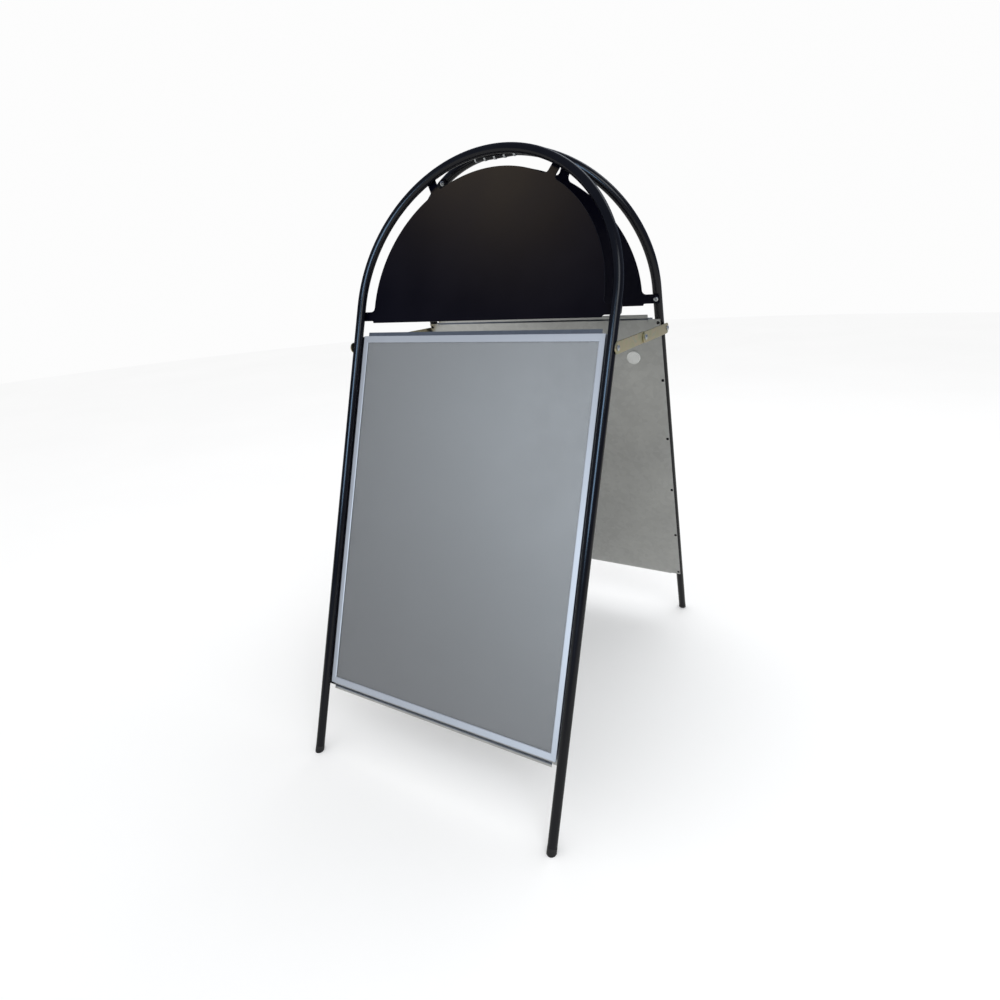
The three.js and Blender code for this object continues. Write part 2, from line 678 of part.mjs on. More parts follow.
function hingeHardware() {
  const group = new THREE.Group();
  group.add(part('hinge_pin', hingePin(), brightZinc));
  knuckleCentres().slice(0, -1).forEach((x, i) => {
    const washer = hingeWasher(x + KNUCKLE_PITCH / 2);
    group.add(part(`hinge_washer_${i + 1}`, washer, brightZinc));
  });
  group.position.z = APEX_HEIGHT - HINGE_DROP;
  return group;
}

function stay(name, side) {
  const group = new THREE.Group();
  const innerX = side > 0 ? INNER_LINK_X : -INNER_LINK_X - STAY_THICKNESS;
  const outerX = side > 0 ? OUTER_LINK_X : -OUTER_LINK_X - STAY_THICKNESS;
  group.add(part(`stay_${name}_front_link`, stayLink(-STAY_PIVOT_Y, innerX), yellowZinc));
  group.add(part(`stay_${name}_rear_link`, stayLink(STAY_PIVOT_Y, outerX), yellowZinc));
  const hardware = [
    [`stay_${name}_front_bolt`, stayBolt(INNER_LINK_X, side), -STAY_PIVOT_Y],
    [`stay_${name}_rear_bolt`, stayBolt(OUTER_LINK_X, side), STAY_PIVOT_Y],
    [`stay_${name}_rivet_head`, stayRivetHead(side), 0],
    [`stay_${name}_rivet_tail`, stayRivetTail(side), 0],
  ];
  for (const [title, geometry, y] of hardware) {
    const mesh = part(title, geometry, brightZinc);
    mesh.position.set(0, y, STAY_PIVOT_Z);
    group.add(mesh);
  }
  return group;
}

const board = new THREE.Group();
board.add(frame('front'));

const rear = new THREE.Group();
const rearFrame = frame('rear');
rearFrame.add(part('rear_pad', pad(), paleFelt));
rear.add(rearFrame);
rear.rotation.z = Math.PI;
board.add(rear);

board.add(hingeHardware());
board.add(stay('left', -1));
board.add(stay('right', 1));

export default board;
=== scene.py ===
"""Folding sandwich board: the visible pieces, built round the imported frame. Metres, +Z up.

Inside a frame of the board x runs across it, y runs from its tubes towards the other frame, and z runs
up along its legs from the centre line of the tube at the top of the arch.
"""

import json
import math

import bmesh
import bpy
from mathutils import Matrix, Vector, noise


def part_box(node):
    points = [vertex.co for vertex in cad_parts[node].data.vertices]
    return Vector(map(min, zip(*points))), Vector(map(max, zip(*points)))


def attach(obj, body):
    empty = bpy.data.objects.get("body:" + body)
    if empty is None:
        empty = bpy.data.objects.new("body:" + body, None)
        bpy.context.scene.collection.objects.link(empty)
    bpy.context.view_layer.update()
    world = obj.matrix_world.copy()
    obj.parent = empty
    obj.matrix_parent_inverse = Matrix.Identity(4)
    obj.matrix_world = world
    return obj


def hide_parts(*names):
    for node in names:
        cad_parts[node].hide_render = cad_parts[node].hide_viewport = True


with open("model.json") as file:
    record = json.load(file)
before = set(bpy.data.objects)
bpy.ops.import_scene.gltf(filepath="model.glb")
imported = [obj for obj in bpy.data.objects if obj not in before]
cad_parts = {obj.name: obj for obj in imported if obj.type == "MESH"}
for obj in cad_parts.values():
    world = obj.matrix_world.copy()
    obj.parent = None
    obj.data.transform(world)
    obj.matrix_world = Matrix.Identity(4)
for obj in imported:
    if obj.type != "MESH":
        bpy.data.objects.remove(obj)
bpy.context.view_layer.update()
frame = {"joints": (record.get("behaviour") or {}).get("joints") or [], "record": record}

MM = 0.001
QUARTER = math.pi / 2
CREASE = math.radians(38)
PLATE_CREASE = math.radians(50)

# -------- places that the frame gives
RECORD = frame["record"]
JOINTS = {joint["name"]: joint for joint in frame["joints"]}
FOOT_PLACE = next(Vector(m["pos_m"]) for m in RECORD["mounts"] if m["name"] == "front_right_foot")
TILT = math.asin(JOINTS["front_poster_slide"]["axis"][1])
HINGE_HEIGHT = JOINTS["frame_fold"]["pos_m"][2]
STAY_PIVOT = Vector(JOINTS["right_rear_link_turn"]["pos_m"])

HINGE_DROP = 8 * MM
APEX_HEIGHT = HINGE_HEIGHT + HINGE_DROP
SLANT_LENGTH = APEX_HEIGHT / math.cos(TILT)
APEX_HALF_GAP = -FOOT_PLACE.y - SLANT_LENGTH * math.sin(TILT)
ARCH_RADIUS = FOOT_PLACE.x

# -------- sizes of the pieces
GAP = 0.3 * MM
TUBE_RADIUS = 8.6 * MM
TUBE_WALL = 1.5 * MM
FOOT_HEIGHT = 12 * MM
FOOT_RADIUS = 8.8 * MM
FOOT_ROUNDING = 0.8 * MM
FOOT_SLANT = 5 * MM
FOOT_STEM = 20 * MM
FOOT_SHOULDER = 2 * MM

PLATE_Y = TUBE_RADIUS + GAP
HEADER_RADIUS = 244 * MM
HEADER_THICKNESS = 2 * MM
HEADER_ROUNDING = 0.5 * MM
TAB_WIDTH = 18 * MM
TAB_OVERLAP = 7 * MM
TAB_FILLET = 8 * MM
TAB_CORNER = 3 * MM
SCREW_TURN_X = 40
SCREW_TURN_Z = 25
UPPER_TAB_ANGLE = math.radians(90 - 29.6)
LOWER_TAB_TOP = -279 * MM
LOWER_FILLET = 4 * MM
HEADER_BOTTOM = LOWER_TAB_TOP - TAB_WIDTH - LOWER_FILLET

SHEET_THICKNESS = 1 * MM
SHEET_HALF_WIDTH = 274.5 * MM
SHEET_TOP = -329 * MM
SHEET_BOTTOM = -1054 * MM
SHEET_SWAY = 0.12 * MM
SWAY_SCALE = 5
RELIEF_WIDTH = 1 * MM
RELIEF_DEPTH = 6 * MM
LIP_HALF_WIDTH = 249.5 * MM
LIP_OFFSET = 2.5 * MM
LIP_BEND = 3 * MM
LIP_TOP = -321 * MM
LIP_BOTTOM = -1059 * MM
TOP_LIP_FLAT = 7 * MM
BOTTOM_LIP_FLAT = 4.5 * MM

POSTER_WIDTH = 500 * MM
POSTER_HEIGHT = 700 * MM
POSTER_BOTTOM = -1038 * MM
CARD_THICKNESS = 1 * MM
COVER_THICKNESS = 1 * MM
COVER_EXTRA = 4 * MM
POSTER_CORNER = 2 * MM
POSTER_ROUNDING = 0.2 * MM
BORDER_THICKNESS = 1.5 * MM
BORDER_ROUNDING = 0.8 * MM
BORDER_SIDE_WIDTH = 11 * MM
BORDER_END_WIDTH = 13 * MM
BORDER_OVERLAP = 3.5 * MM
BORDER_BOTTOM = -1046.5 * MM
BORDER_LEG = 2 * MM
BORDER_LEG_CLEARANCE = 0.8 * MM
BORDER_LEG_INSET = 3 * MM
MITRE_GAP = 0.15 * MM

SHEET_MIDDLE = PLATE_Y + SHEET_THICKNESS / 2
LIP_Y = PLATE_Y - LIP_OFFSET
CARD_Y = LIP_Y - GAP - CARD_THICKNESS
COVER_Y = CARD_Y - GAP - COVER_THICKNESS
BORDER_Y = COVER_Y - GAP - BORDER_THICKNESS
FIELD_HALF_WIDTH = POSTER_WIDTH / 2 - BORDER_OVERLAP
BORDER_HALF_WIDTH = FIELD_HALF_WIDTH + BORDER_SIDE_WIDTH
FIELD_TOP = SHEET_TOP - BORDER_END_WIDTH
FIELD_BOTTOM = BORDER_BOTTOM + BORDER_END_WIDTH

KNUCKLE_RADIUS = 5.6 * MM
KNUCKLE_LENGTH = 15.9 * MM
KNUCKLE_PITCH = 20.5 * MM
KNUCKLE_COUNT = 4
KNUCKLE_ROUNDING = 0.6 * MM
PIN_RADIUS = 2.8 * MM
COLLAR_RADIUS = 6.5 * MM
PIN_HEAD_LENGTH = 3.5 * MM
PIN_HEAD_ROUNDING = 1.2 * MM
WASHER_ROUNDING = 0.35 * MM
LEAF_THICKNESS = 2 * MM
LEAF_TOP = 5 * MM
LEAF_BOTTOM = -7 * MM
LEAF_CORNER = 2.5 * MM
LEAF_ROUNDING = 0.4 * MM
NECK_HALF_HEIGHT = 4 * MM
NECK_INSET = 0.4 * MM
NECK_BITE = 0.5 * MM
WELD_RADIUS = 1.9 * MM
WELD_HALF_LENGTH = 7 * MM
WELD_PITCH = 27 * MM
WELD_DEPTH = 8.0 * MM
WELD_HEIGHT = 4.9 * MM
WELD_RIPPLE = 0.07
AXIS_Y = APEX_HALF_GAP * math.cos(TILT) + HINGE_DROP * math.sin(TILT)
AXIS_Z = APEX_HALF_GAP * math.sin(TILT) - HINGE_DROP * math.cos(TILT)

SHANK_RADIUS = 1.6 * MM
SHANK_LENGTH = 6 * MM
HEAD_ROUNDING = 0.3 * MM
SCREW_HEAD_RADIUS = 4.5 * MM
SCREW_HEAD_HEIGHT = 2.4 * MM
RECESS_ARM = 2.3 * MM
RECESS_HALF_WIDTH = 0.55 * MM
RECESS_DEPTH = 1.3 * MM
RIVET_HEAD_RADIUS = 3.2 * MM
RIVET_HEAD_HEIGHT = 1.5 * MM
MANDREL_HOLE_RADIUS = 0.9 * MM
RIVET_INSET = 8 * MM
INNER_RIVETS = 4
INNER_RIVET_PITCH = 148.5 * MM

STAY_WIDTH = 20 * MM
STAY_THICKNESS = 2.2 * MM
STAY_ROUNDING = 0.45 * MM
STAY_CLEARANCE = 0.6 * MM
STAY_FACE = ARCH_RADIUS + TUBE_RADIUS
INNER_LINK = STAY_CLEARANCE
OUTER_LINK = INNER_LINK + STAY_THICKNESS + GAP
BOLT_RADIUS = 2.5 * MM
BOLT_HOLE_RADIUS = 2.9 * MM
BOLT_HEAD_RADIUS = 4.8 * MM
BOLT_HEAD_HEIGHT = 2.8 * MM
BOLT_TIP = 6 * MM
SPACER_RADIUS = 4.5 * MM
TAIL_RADIUS = 4.5 * MM
TAIL_HEIGHT = 1.8 * MM
TAIL_ROUNDING = 0.9 * MM

PAD_RADIUS = 14 * MM
PAD_THICKNESS = 3 * MM
PAD_ROUNDING = 1 * MM
PAD_FUZZ = 0.12 * MM
FUZZ_SCALE = 700

FLOOR_RADIUS = 9.0

# -------- camera, lights and stage
CAMERA_PLACE = Vector((0.618, -1.091, 0.924))
CAMERA_TARGET = Vector((-0.043, 0.0, 0.439))
CAMERA_ROLL = math.radians(-4.16)
CAMERA_LENS = 21.87
SENSOR_WIDTH = 36


def make_camera():
    data = bpy.data.cameras.new("camera")
    data.sensor_width = SENSOR_WIDTH
    data.lens = CAMERA_LENS
    data.clip_start = 0.05
    camera = bpy.data.objects.new("camera", data)
    bpy.context.scene.collection.objects.link(camera)
    aim = (CAMERA_TARGET - CAMERA_PLACE).to_track_quat("-Z", "Y").to_matrix().to_4x4()
    camera.matrix_world = Matrix.Translation(CAMERA_PLACE) @ aim @ Matrix.Rotation(CAMERA_ROLL, 4, "Z")
    bpy.context.scene.camera = camera


def area_light(name, place, target, size, power, colour):
    """A soft light that the camera doesn't see."""
    data = bpy.data.lights.new(name, "AREA")
    data.shape = "RECTANGLE"
    data.size, data.size_y = size
    data.energy = power
    data.color = colour
    light = bpy.data.objects.new(name, data)
    bpy.context.scene.collection.objects.link(light)
    light.visible_camera = False
    light.location = place
    light.rotation_euler = (Vector(target) - Vector(place)).to_track_quat("-Z", "Y").to_euler()
    return light


def sheen_light(name, receivers, **settings):
    """A reflector that shows only as a sheen, on the pieces that it is meant for."""
    light = area_light(name, **settings)
    light.visible_diffuse = False
    group = bpy.data.collections.new(f"{name}_receivers")
    for receiver in receivers:
        group.objects.link(receiver)
    light.light_linking.receiver_collection = group


def finished(*kinds):
    """The finished pieces of the front and rear frame whose names hold one of the kinds."""
    return [obj for obj in bpy.data.objects if obj.type == "MESH" and obj.name.endswith("_finished")
            and any(kind in obj.name for kind in kinds)]


def make_lights():
    middle = (0, 0, 0.6)
    panels = finished("poster_card", "clear_cover")
    area_light(
        "key_light", place=(1.6, -1.5, 2.2), target=middle,
        size=(1.2, 1.2), power=12, colour=(0.9, 0.95, 1.0))
    area_light(
        "top_light", place=(0.6, 1.6, 3.0), target=middle,
        size=(2.4, 1.2), power=12, colour=(0.92, 0.96, 1.0))
    sheen_light(
        "panel_sheen", panels, place=(-0.6, -2.1, 1.6), target=(0, -0.25, 0.6),
        size=(1.3, 1.3), power=92, colour=(0.8, 0.91, 1.0))
    sheen_light(
        "edge_sheen", panels + finished("border"), place=(0.3, -2.3, 0.8), target=(0.2, -0.3, 0.4),
        size=(0.8, 0.8), power=88, colour=(0.8, 0.91, 1.0))
    sheen_light(
        "header_sheen", finished("header_plate"), place=(-1.4, -1.5, 3.1), target=(0, -0.1, 1.0),
        size=(0.8, 0.8), power=12.5, colour=(1.0, 0.8, 0.5))
    sheen_light(
        "tube_sheen", finished("tube_frame"), place=(0.2, -2.1, 1.5), target=(0, 0, 0.7),
        size=(1.0, 1.0), power=34, colour=(0.44, 0.68, 1.0))


def mix_node(tree, first, second, blend="MIX"):
    """A colour mix. first and second are each a colour or the output that gives one."""
    node = tree.nodes.new("ShaderNodeMix")
    node.data_type = "RGBA"
    node.blend_type = blend
    for key, value in (("A", first), ("B", second)):
        if isinstance(value, tuple):
            node.inputs[key].default_value = (*value, 1)
        else:
            tree.links.new(value, node.inputs[key])
    return node


def seen_or_reflected(tree, seen, reflected):
    """One colour for what the eye sees and what lights the scene, another for glossy reflections."""
    path = tree.nodes.new("ShaderNodeLightPath")
    node = mix_node(tree, seen, reflected)
    tree.links.new(path.outputs["Is Glossy Ray"], node.inputs["Factor"])
    return node.outputs["Result"]


def make_world():
    """White all round, but for a darker blue-grey that the glossy surfaces reflect."""
    world = bpy.data.worlds.new("studio")
    world.use_nodes = True
    bpy.context.scene.world = world
    # If the world were sampled as a light, its white would show in glossy surfaces as well.
    world.cycles.sampling_method = "NONE"
    tree = world.node_tree
    background = tree.nodes["Background"]
    background.inputs["Strength"].default_value = 1.0
    colour = seen_or_reflected(tree, seen=(0.98, 0.98, 0.98), reflected=(0.12, 0.145, 0.2))
    tree.links.new(colour, background.inputs["Color"])


# -------- nodes of a material
def new_material(name, **values):
    """A principled material. The values are set on the shader's own sockets."""
    material = bpy.data.materials.new(name)
    material.use_nodes = True
    shader = material.node_tree.nodes["Principled BSDF"]
    for key, value in values.items():
        shader.inputs[key.replace("_", " ")].default_value = value
    return material, material.node_tree, shader


def object_place(tree, stretch=(1, 1, 1)):
    coordinates = tree.nodes.new("ShaderNodeTexCoord")
    mapping = tree.nodes.new("ShaderNodeMapping")
    mapping.inputs["Scale"].default_value = stretch
    tree.links.new(coordinates.outputs["Object"], mapping.inputs["Vector"])
    return mapping.outputs["Vector"]


def noise_value(tree, vector, scale, detail=2.0, distortion=0.0):
    node = tree.nodes.new("ShaderNodeTexNoise")
    node.inputs["Scale"].default_value = scale
    node.inputs["Detail"].default_value = detail
    node.inputs["Distortion"].default_value = distortion
    tree.links.new(vector, node.inputs["Vector"])
    return node.outputs["Fac"]


def colour_of(tree, factor, *stops):
    """A ramp of colours along the factor. Each stop is (position, colour)."""
    ramp = tree.nodes.new("ShaderNodeValToRGB")
    elements = ramp.color_ramp.elements
    while len(elements) < len(stops):
        elements.new(1.0)
    for element, (position, colour) in zip(elements, stops):
        element.position = position
        element.color = (*colour, 1)
    tree.links.new(factor, ramp.inputs["Fac"])
    return ramp.outputs["Color"]


def vary(tree, shader, key, factor, low, high, start=0.3, end=0.7):
    """Lets one of the shader's values run from low to high as the factor goes from start to end."""
    node = tree.nodes.new("ShaderNodeMapRange")
    node.inputs["From Min"].default_value = start
    node.inputs["From Max"].default_value = end
    node.inputs["To Min"].default_value = low
    node.inputs["To Max"].default_value = high
    tree.links.new(factor, node.inputs["Value"])
    tree.links.new(node.outputs["Result"], shader.inputs[key])


def add_bump(tree, shader, height, depth, strength):
    node = tree.nodes.new("ShaderNodeBump")
    node.inputs["Strength"].default_value = strength
    node.inputs["Distance"].default_value = depth
    tree.links.new(height, node.inputs["Height"])
    tree.links.new(node.outputs["Normal"], shader.inputs["Normal"])


def paint(tree, shader, colour):
    tree.links.new(colour, shader.inputs["Base Color"])


# -------- materials
def powder_coat(name, dark, light, roughness, specular):
    """Black powder coat: a fine orange-peel surface, with slightly uneven colour and gloss."""
    material, tree, shader = new_material(name, Specular_IOR_Level=specular)
    place = object_place(tree)
    patches = noise_value(tree, place, scale=9, detail=4)
    peel = noise_value(tree, place, scale=260, detail=1)
    paint(tree, shader, colour_of(tree, patches, (0.3, dark), (0.7, light)))
    vary(tree, shader, "Roughness", patches, *roughness)
    add_bump(tree, shader, peel, depth=0.02 * MM, strength=0.5)
    return material


def moulded_plastic():
    """Black plastic with a fine eroded grain."""
    material, tree, shader = new_material("moulded_plastic", Specular_IOR_Level=0.4)
    place = object_place(tree)
    tone = noise_value(tree, place, scale=60)
    grain = noise_value(tree, place, scale=1500, detail=3)
    paint(tree, shader, colour_of(tree, tone, (0.3, (0.012, 0.012, 0.013)), (0.7, (0.02, 0.02, 0.021))))
    vary(tree, shader, "Roughness", grain, 0.42, 0.56)
    add_bump(tree, shader, grain, depth=0.05 * MM, strength=0.6)
    return material


def galvanised_steel():
    """Zinc-coated sheet: faint crystal spangle, cloudy tone and a little rolling grain."""
    material, tree, shader = new_material("galvanised_steel", Metallic=1.0)
    place = object_place(tree)
    spangle = tree.nodes.new("ShaderNodeTexVoronoi")
    spangle.inputs["Scale"].default_value = 95
    spangle.inputs["Randomness"].default_value = 1.0
    tree.links.new(place, spangle.inputs["Vector"])
    crystals = tree.nodes.new("ShaderNodeSeparateColor")
    tree.links.new(spangle.outputs["Color"], crystals.inputs["Color"])
    tone = colour_of(tree, crystals.outputs["Red"], (0.0, (0.65, 0.655, 0.645)), (1.0, (0.71, 0.715, 0.705)))
    patches = noise_value(tree, place, scale=7, detail=5)
    clouds = colour_of(tree, patches, (0.3, (0.86, 0.86, 0.87)), (0.7, (1.0, 1.0, 1.0)))
    clouded = mix_node(tree, tone, clouds, "MULTIPLY")
    clouded.inputs["Factor"].default_value = 1.0
    paint(tree, shader, clouded.outputs["Result"])
    vary(tree, shader, "Roughness", crystals.outputs["Green"], 0.3, 0.36, start=0, end=1)
    grain = noise_value(tree, object_place(tree, (900, 900, 14)), scale=1, detail=3)
    add_bump(tree, shader, grain, depth=0.02 * MM, strength=0.35)
    return material


def satin_silver(name, stretch):
    """Silver profile with fine brush lines along it."""
    material, tree, shader = new_material(name, Metallic=0.2)
    lines = noise_value(tree, object_place(tree, stretch), scale=1, detail=4)
    clouds = noise_value(tree, object_place(tree), scale=11, detail=3)
    paint(tree, shader, colour_of(tree, clouds, (0.3, (0.355, 0.383, 0.435)), (0.7, (0.38, 0.41, 0.465))))
    vary(tree, shader, "Roughness", lines, 0.42, 0.52)
    add_bump(tree, shader, lines, depth=0.01 * MM, strength=0.25)
    return material


def printed_card():
    """Plain grey poster card with an even silk finish."""
    material, tree, shader = new_material("printed_card", Specular_IOR_Level=0.5)
    place = object_place(tree)
    silk = noise_value(tree, place, scale=40, detail=3)
    tone = noise_value(tree, place, scale=2.2, detail=3)
    paint(tree, shader, colour_of(tree, tone, (0.3, (0.185, 0.19, 0.196)), (0.7, (0.2, 0.206, 0.213))))
    vary(tree, shader, "Roughness", silk, 0.46, 0.52)
    return material


def anti_glare_sheet():
    """Clear plastic, slightly wavy, with an etched face, so that it shows no sharp reflections."""
    material, tree, shader = new_material(
        "anti_glare_sheet", Base_Color=(0.2, 0.207, 0.22, 1), Alpha=0.3, Specular_IOR_Level=0.5)
    place = object_place(tree)
    etching = noise_value(tree, place, scale=5, detail=3)
    waves = noise_value(tree, place, scale=4, detail=1)
    vary(tree, shader, "Roughness", etching, 0.46, 0.54)
    add_bump(tree, shader, waves, depth=0.6 * MM, strength=0.6)
    return material


def bright_zinc():
    """Blue-white zinc plating, a little patchy and finely pitted."""
    material, tree, shader = new_material("bright_zinc", Metallic=1.0)
    place = object_place(tree)
    tone = noise_value(tree, place, scale=240, detail=3)
    patches = noise_value(tree, place, scale=700)
    pits = noise_value(tree, place, scale=1300, detail=3)
    paint(tree, shader, colour_of(tree, tone, (0.3, (0.55, 0.58, 0.61)), (0.7, (0.68, 0.7, 0.73))))
    vary(tree, shader, "Roughness", patches, 0.2, 0.36)
    add_bump(tree, shader, pits, depth=0.02 * MM, strength=0.3)
    return material


def yellow_zinc():
    """Chromated zinc: cloudy gold that drifts to olive and a little pink, with a fine grain."""
    material, tree, shader = new_material("yellow_zinc", Metallic=1.0)
    film = noise_value(tree, object_place(tree), scale=34, detail=4, distortion=1.2)
    grain = noise_value(tree, object_place(tree, (1500, 25, 1500)), scale=1, detail=3)
    olive = (0.28, (0.52, 0.53, 0.35))
    gold = (0.45, (0.6, 0.56, 0.36))
    pink = (0.6, (0.66, 0.56, 0.38))
    pale_olive = (0.74, (0.54, 0.56, 0.42))
    paint(tree, shader, colour_of(tree, film, olive, gold, pink, pale_olive))
    vary(tree, shader, "Roughness", grain, 0.3, 0.45)
    add_bump(tree, shader, grain, depth=0.02 * MM, strength=0.3)
    return material


def felt():
    """Pale grey felt with matted fibres."""
    material, tree, shader = new_material("felt", Sheen_Weight=0.4, Roughness=0.95, Specular_IOR_Level=0.1)
    fibres = noise_value(tree, object_place(tree), scale=900, detail=6, distortion=2.0)
    paint(tree, shader, colour_of(tree, fibres, (0.3, (0.54, 0.55, 0.53)), (0.7, (0.72, 0.73, 0.71))))
    add_bump(tree, shader, fibres, depth=0.3 * MM, strength=0.8)
    return material


def floor_paint():
    """A white matt floor that shows as a mid grey in glossy surfaces, as the rest of the surroundings do."""
    material, tree, shader = new_material("floor_paint", Roughness=0.9, Specular_IOR_Level=0.0)
    clouds = noise_value(tree, object_place(tree), scale=1.3, detail=4)
    white = colour_of(tree, clouds, (0.3, (0.955, 0.955, 0.955)), (0.7, (0.97, 0.97, 0.97)))
    paint(tree, shader, seen_or_reflected(tree, seen=white, reflected=(0.55, 0.55, 0.53)))
    return material


MATERIALS = {
    "frame_paint": powder_coat(
        "satin_black", dark=(0.002, 0.002, 0.004), light=(0.005, 0.005, 0.008),
        roughness=(0.17, 0.24), specular=0.36),
    "header_paint": powder_coat(
        "matte_black", dark=(0.0012, 0.0012, 0.005), light=(0.0025, 0.0025, 0.0075),
        roughness=(0.3, 0.35), specular=0.12),
    "foot_plastic": moulded_plastic(),
    "sheet_steel": galvanised_steel(),
    "border_along_x": satin_silver("satin_silver_across", stretch=(8, 1600, 1600)),
    "border_along_z": satin_silver("satin_silver_upright", stretch=(1600, 1600, 8)),
    "poster_card": printed_card(),
    "clear_cover": anti_glare_sheet(),
    "bright_zinc": bright_zinc(),
    "yellow_zinc": yellow_zinc(),
    "pad_felt": felt(),
}


# -------- mesh helpers
def mesh_of(name, vertices, faces, crease=CREASE):
    """A clean closed mesh, with smooth shading except over edges sharper than the crease."""
    mesh = bpy.data.meshes.new(name)
    mesh.from_pydata([tuple(v) for v in vertices], [], faces)
    work = bmesh.new()
    work.from_mesh(mesh)
    bmesh.ops.remove_doubles(work, verts=work.verts, dist=0.001 * MM)
    bmesh.ops.recalc_face_normals(work, faces=work.faces)
    work.to_mesh(mesh)
    work.free()
    mesh.shade_smooth()
    mesh.set_sharp_from_angle(angle=crease)
    return mesh


def arc(centre, radius, start, end, steps):
    """Points along an arc, both ends included. Angles are in radians, and it may run either way."""
    angles = [start + (end - start) * i / steps for i in range(steps + 1)]
    return [Vector((centre[0] + radius * math.cos(a), centre[1] + radius * math.sin(a))) for a in angles]


def circle(centre, radius):
    """A round hole's outline, clockwise."""
    return arc(centre, radius, 0, -2 * math.pi, 24)[:-1]


def rounded_rectangle(left, right, bottom, top, radius):
    centres = [
        (right - radius, bottom + radius),
        (right - radius, top - radius),
        (left + radius, top - radius),
        (left + radius, bottom + radius),
    ]
    outline = []
    for i, centre in enumerate(centres):
        start = (i - 1) * QUARTER
        outline += arc(centre, radius, start, start + QUARTER, 4)
    return outline


def inset(outline, distance):
    """The closed outline moved to its left, which is inward for one that runs anticlockwise."""
    least_share = 0.5
    moved = []
    for i, here in enumerate(outline):
        before = (here - outline[i - 1]).normalized()
        after = (outline[(i + 1) % len(outline)] - here).normalized()
        left_before = Vector((-before.y, before.x))
        left_after = Vector((-after.y, after.x))
        middle = (left_before + left_after).normalized()
        moved.append(here + middle * distance / max(middle.dot(left_before), least_share))
    return moved


def plate(name, outline, holes, y0, y1, rounding, steps=3):
    """A flat plate with rounded edges. Its outline is in x and z, anticlockwise, and its holes clockwise."""
    layers = []
    for i in range(steps + 1):
        angle = QUARTER * i / steps
        layers.append((rounding * (1 - math.cos(angle)), rounding * (1 - math.sin(angle))))
    levels = [(depth, y0 + rise) for depth, rise in reversed(layers)]
    levels += [(depth, y1 - rise) for depth, rise in layers]

    work = bmesh.new()
    first_edges = []
    last_edges = []
    for ring in [outline, *holes]:
        rings = [[work.verts.new((p.x, y, p.y)) for p in inset(ring, depth)] for depth, y in levels]
        count = len(ring)
        for low, high in zip(rings, rings[1:]):
            for i in range(count):
                work.faces.new((low[i], low[i - 1], high[i - 1], high[i]))
        for edges, loop in ((first_edges, rings[0]), (last_edges, rings[-1])):
            edges += [work.edges.get((loop[i], loop[i - 1])) for i in range(count)]
    for edges in (first_edges, last_edges):
        bmesh.ops.triangle_fill(work, use_beauty=True, edges=edges)
    bmesh.ops.recalc_face_normals(work, faces=work.faces)
    mesh = bpy.data.meshes.new(name)
    work.to_mesh(mesh)
    work.free()
    mesh.shade_smooth()
    mesh.set_sharp_from_angle(angle=PLATE_CREASE)
    return mesh


def turned(name, profile, sides=40):
    """A turned piece about the y axis. Its profile is a list of (radius, distance along the axis)."""
    vertices = []
    rings = []
    for radius, along in profile:
        count = sides if radius > 0 else 1
        rings.append([len(vertices) + i % count for i in range(sides)])
        for i in range(count):
            angle = 2 * math.pi * i / sides
            vertices.append((radius * math.cos(angle), along, radius * math.sin(angle)))
    faces = []
    for low, high in zip(rings, rings[1:]):
        for i in range(sides):
            corners = [low[i - 1], low[i], high[i], high[i - 1]]
            faces.append(list(dict.fromkeys(corners)))
    return mesh_of(name, vertices, [f for f in faces if len(f) > 2])


def rounded_step(radius, along, rounding, towards):
    """Profile points round an outer corner, from the side of a disc to its end face, for turned()."""
    steps = 4
    points = []
    for i in range(steps + 1):
        angle = QUARTER * i / steps
        points.append((
            radius - rounding * (1 - math.cos(angle)),
            along + towards * (rounding * math.sin(angle) - rounding),
        ))
    return points


def swept(places, radii, sides):
    """An open tube through the places. Each place is (point, a direction across it); y is the other one."""
    vertices = []
    for (point, across), radius in zip(places, radii):
        ring = arc((0, 0), radius, 0, 2 * math.pi, sides)[:-1]
        vertices += [point + across * p.x + Vector((0, p.y, 0)) for p in ring]
    faces = []
    for low in range(0, len(vertices) - sides, sides):
        high = low + sides
        faces += [(low + (i - 1) % sides, low + i, high + i, high + (i - 1) % sides) for i in range(sides)]
    return vertices, faces


def box_mesh(name, low, high):
    corners = [(x, y, z) for x in (low[0], high[0]) for y in (low[1], high[1]) for z in (low[2], high[2])]
    faces = [(0, 1, 3, 2), (4, 6, 7, 5), (0, 4, 5, 1), (2, 3, 7, 6), (0, 2, 6, 4), (1, 5, 7, 3)]
    return mesh_of(name, corners, faces)


def boolean(base, others, operation):
    """base joined with or cut by the other meshes, as a new mesh."""
    scene = bpy.context.scene
    target = bpy.data.objects.new("boolean_base", base)
    scene.collection.objects.link(target)
    helpers = []
    for other in others:
        helper = bpy.data.objects.new("boolean_helper", other)
        scene.collection.objects.link(helper)
        modifier = target.modifiers.new("boolean", "BOOLEAN")
        modifier.operation = operation
        modifier.solver = "EXACT"
        modifier.object = helper
        helpers.append(helper)
    result = bpy.data.meshes.new_from_object(target.evaluated_get(bpy.context.evaluated_depsgraph_get()))
    for obj in [target, *helpers]:
        bpy.data.objects.remove(obj)
    result.shade_smooth()
    result.set_sharp_from_angle(angle=CREASE)
    return result


# -------- putting a piece in place
FRONT_PLACE = Matrix.Translation((0, -APEX_HALF_GAP, APEX_HEIGHT)) @ Matrix.Rotation(-TILT, 4, "X")
FRAME_PLACES = {"front": FRONT_PLACE, "rear": Matrix.Rotation(math.pi, 4, "Z") @ FRONT_PLACE}


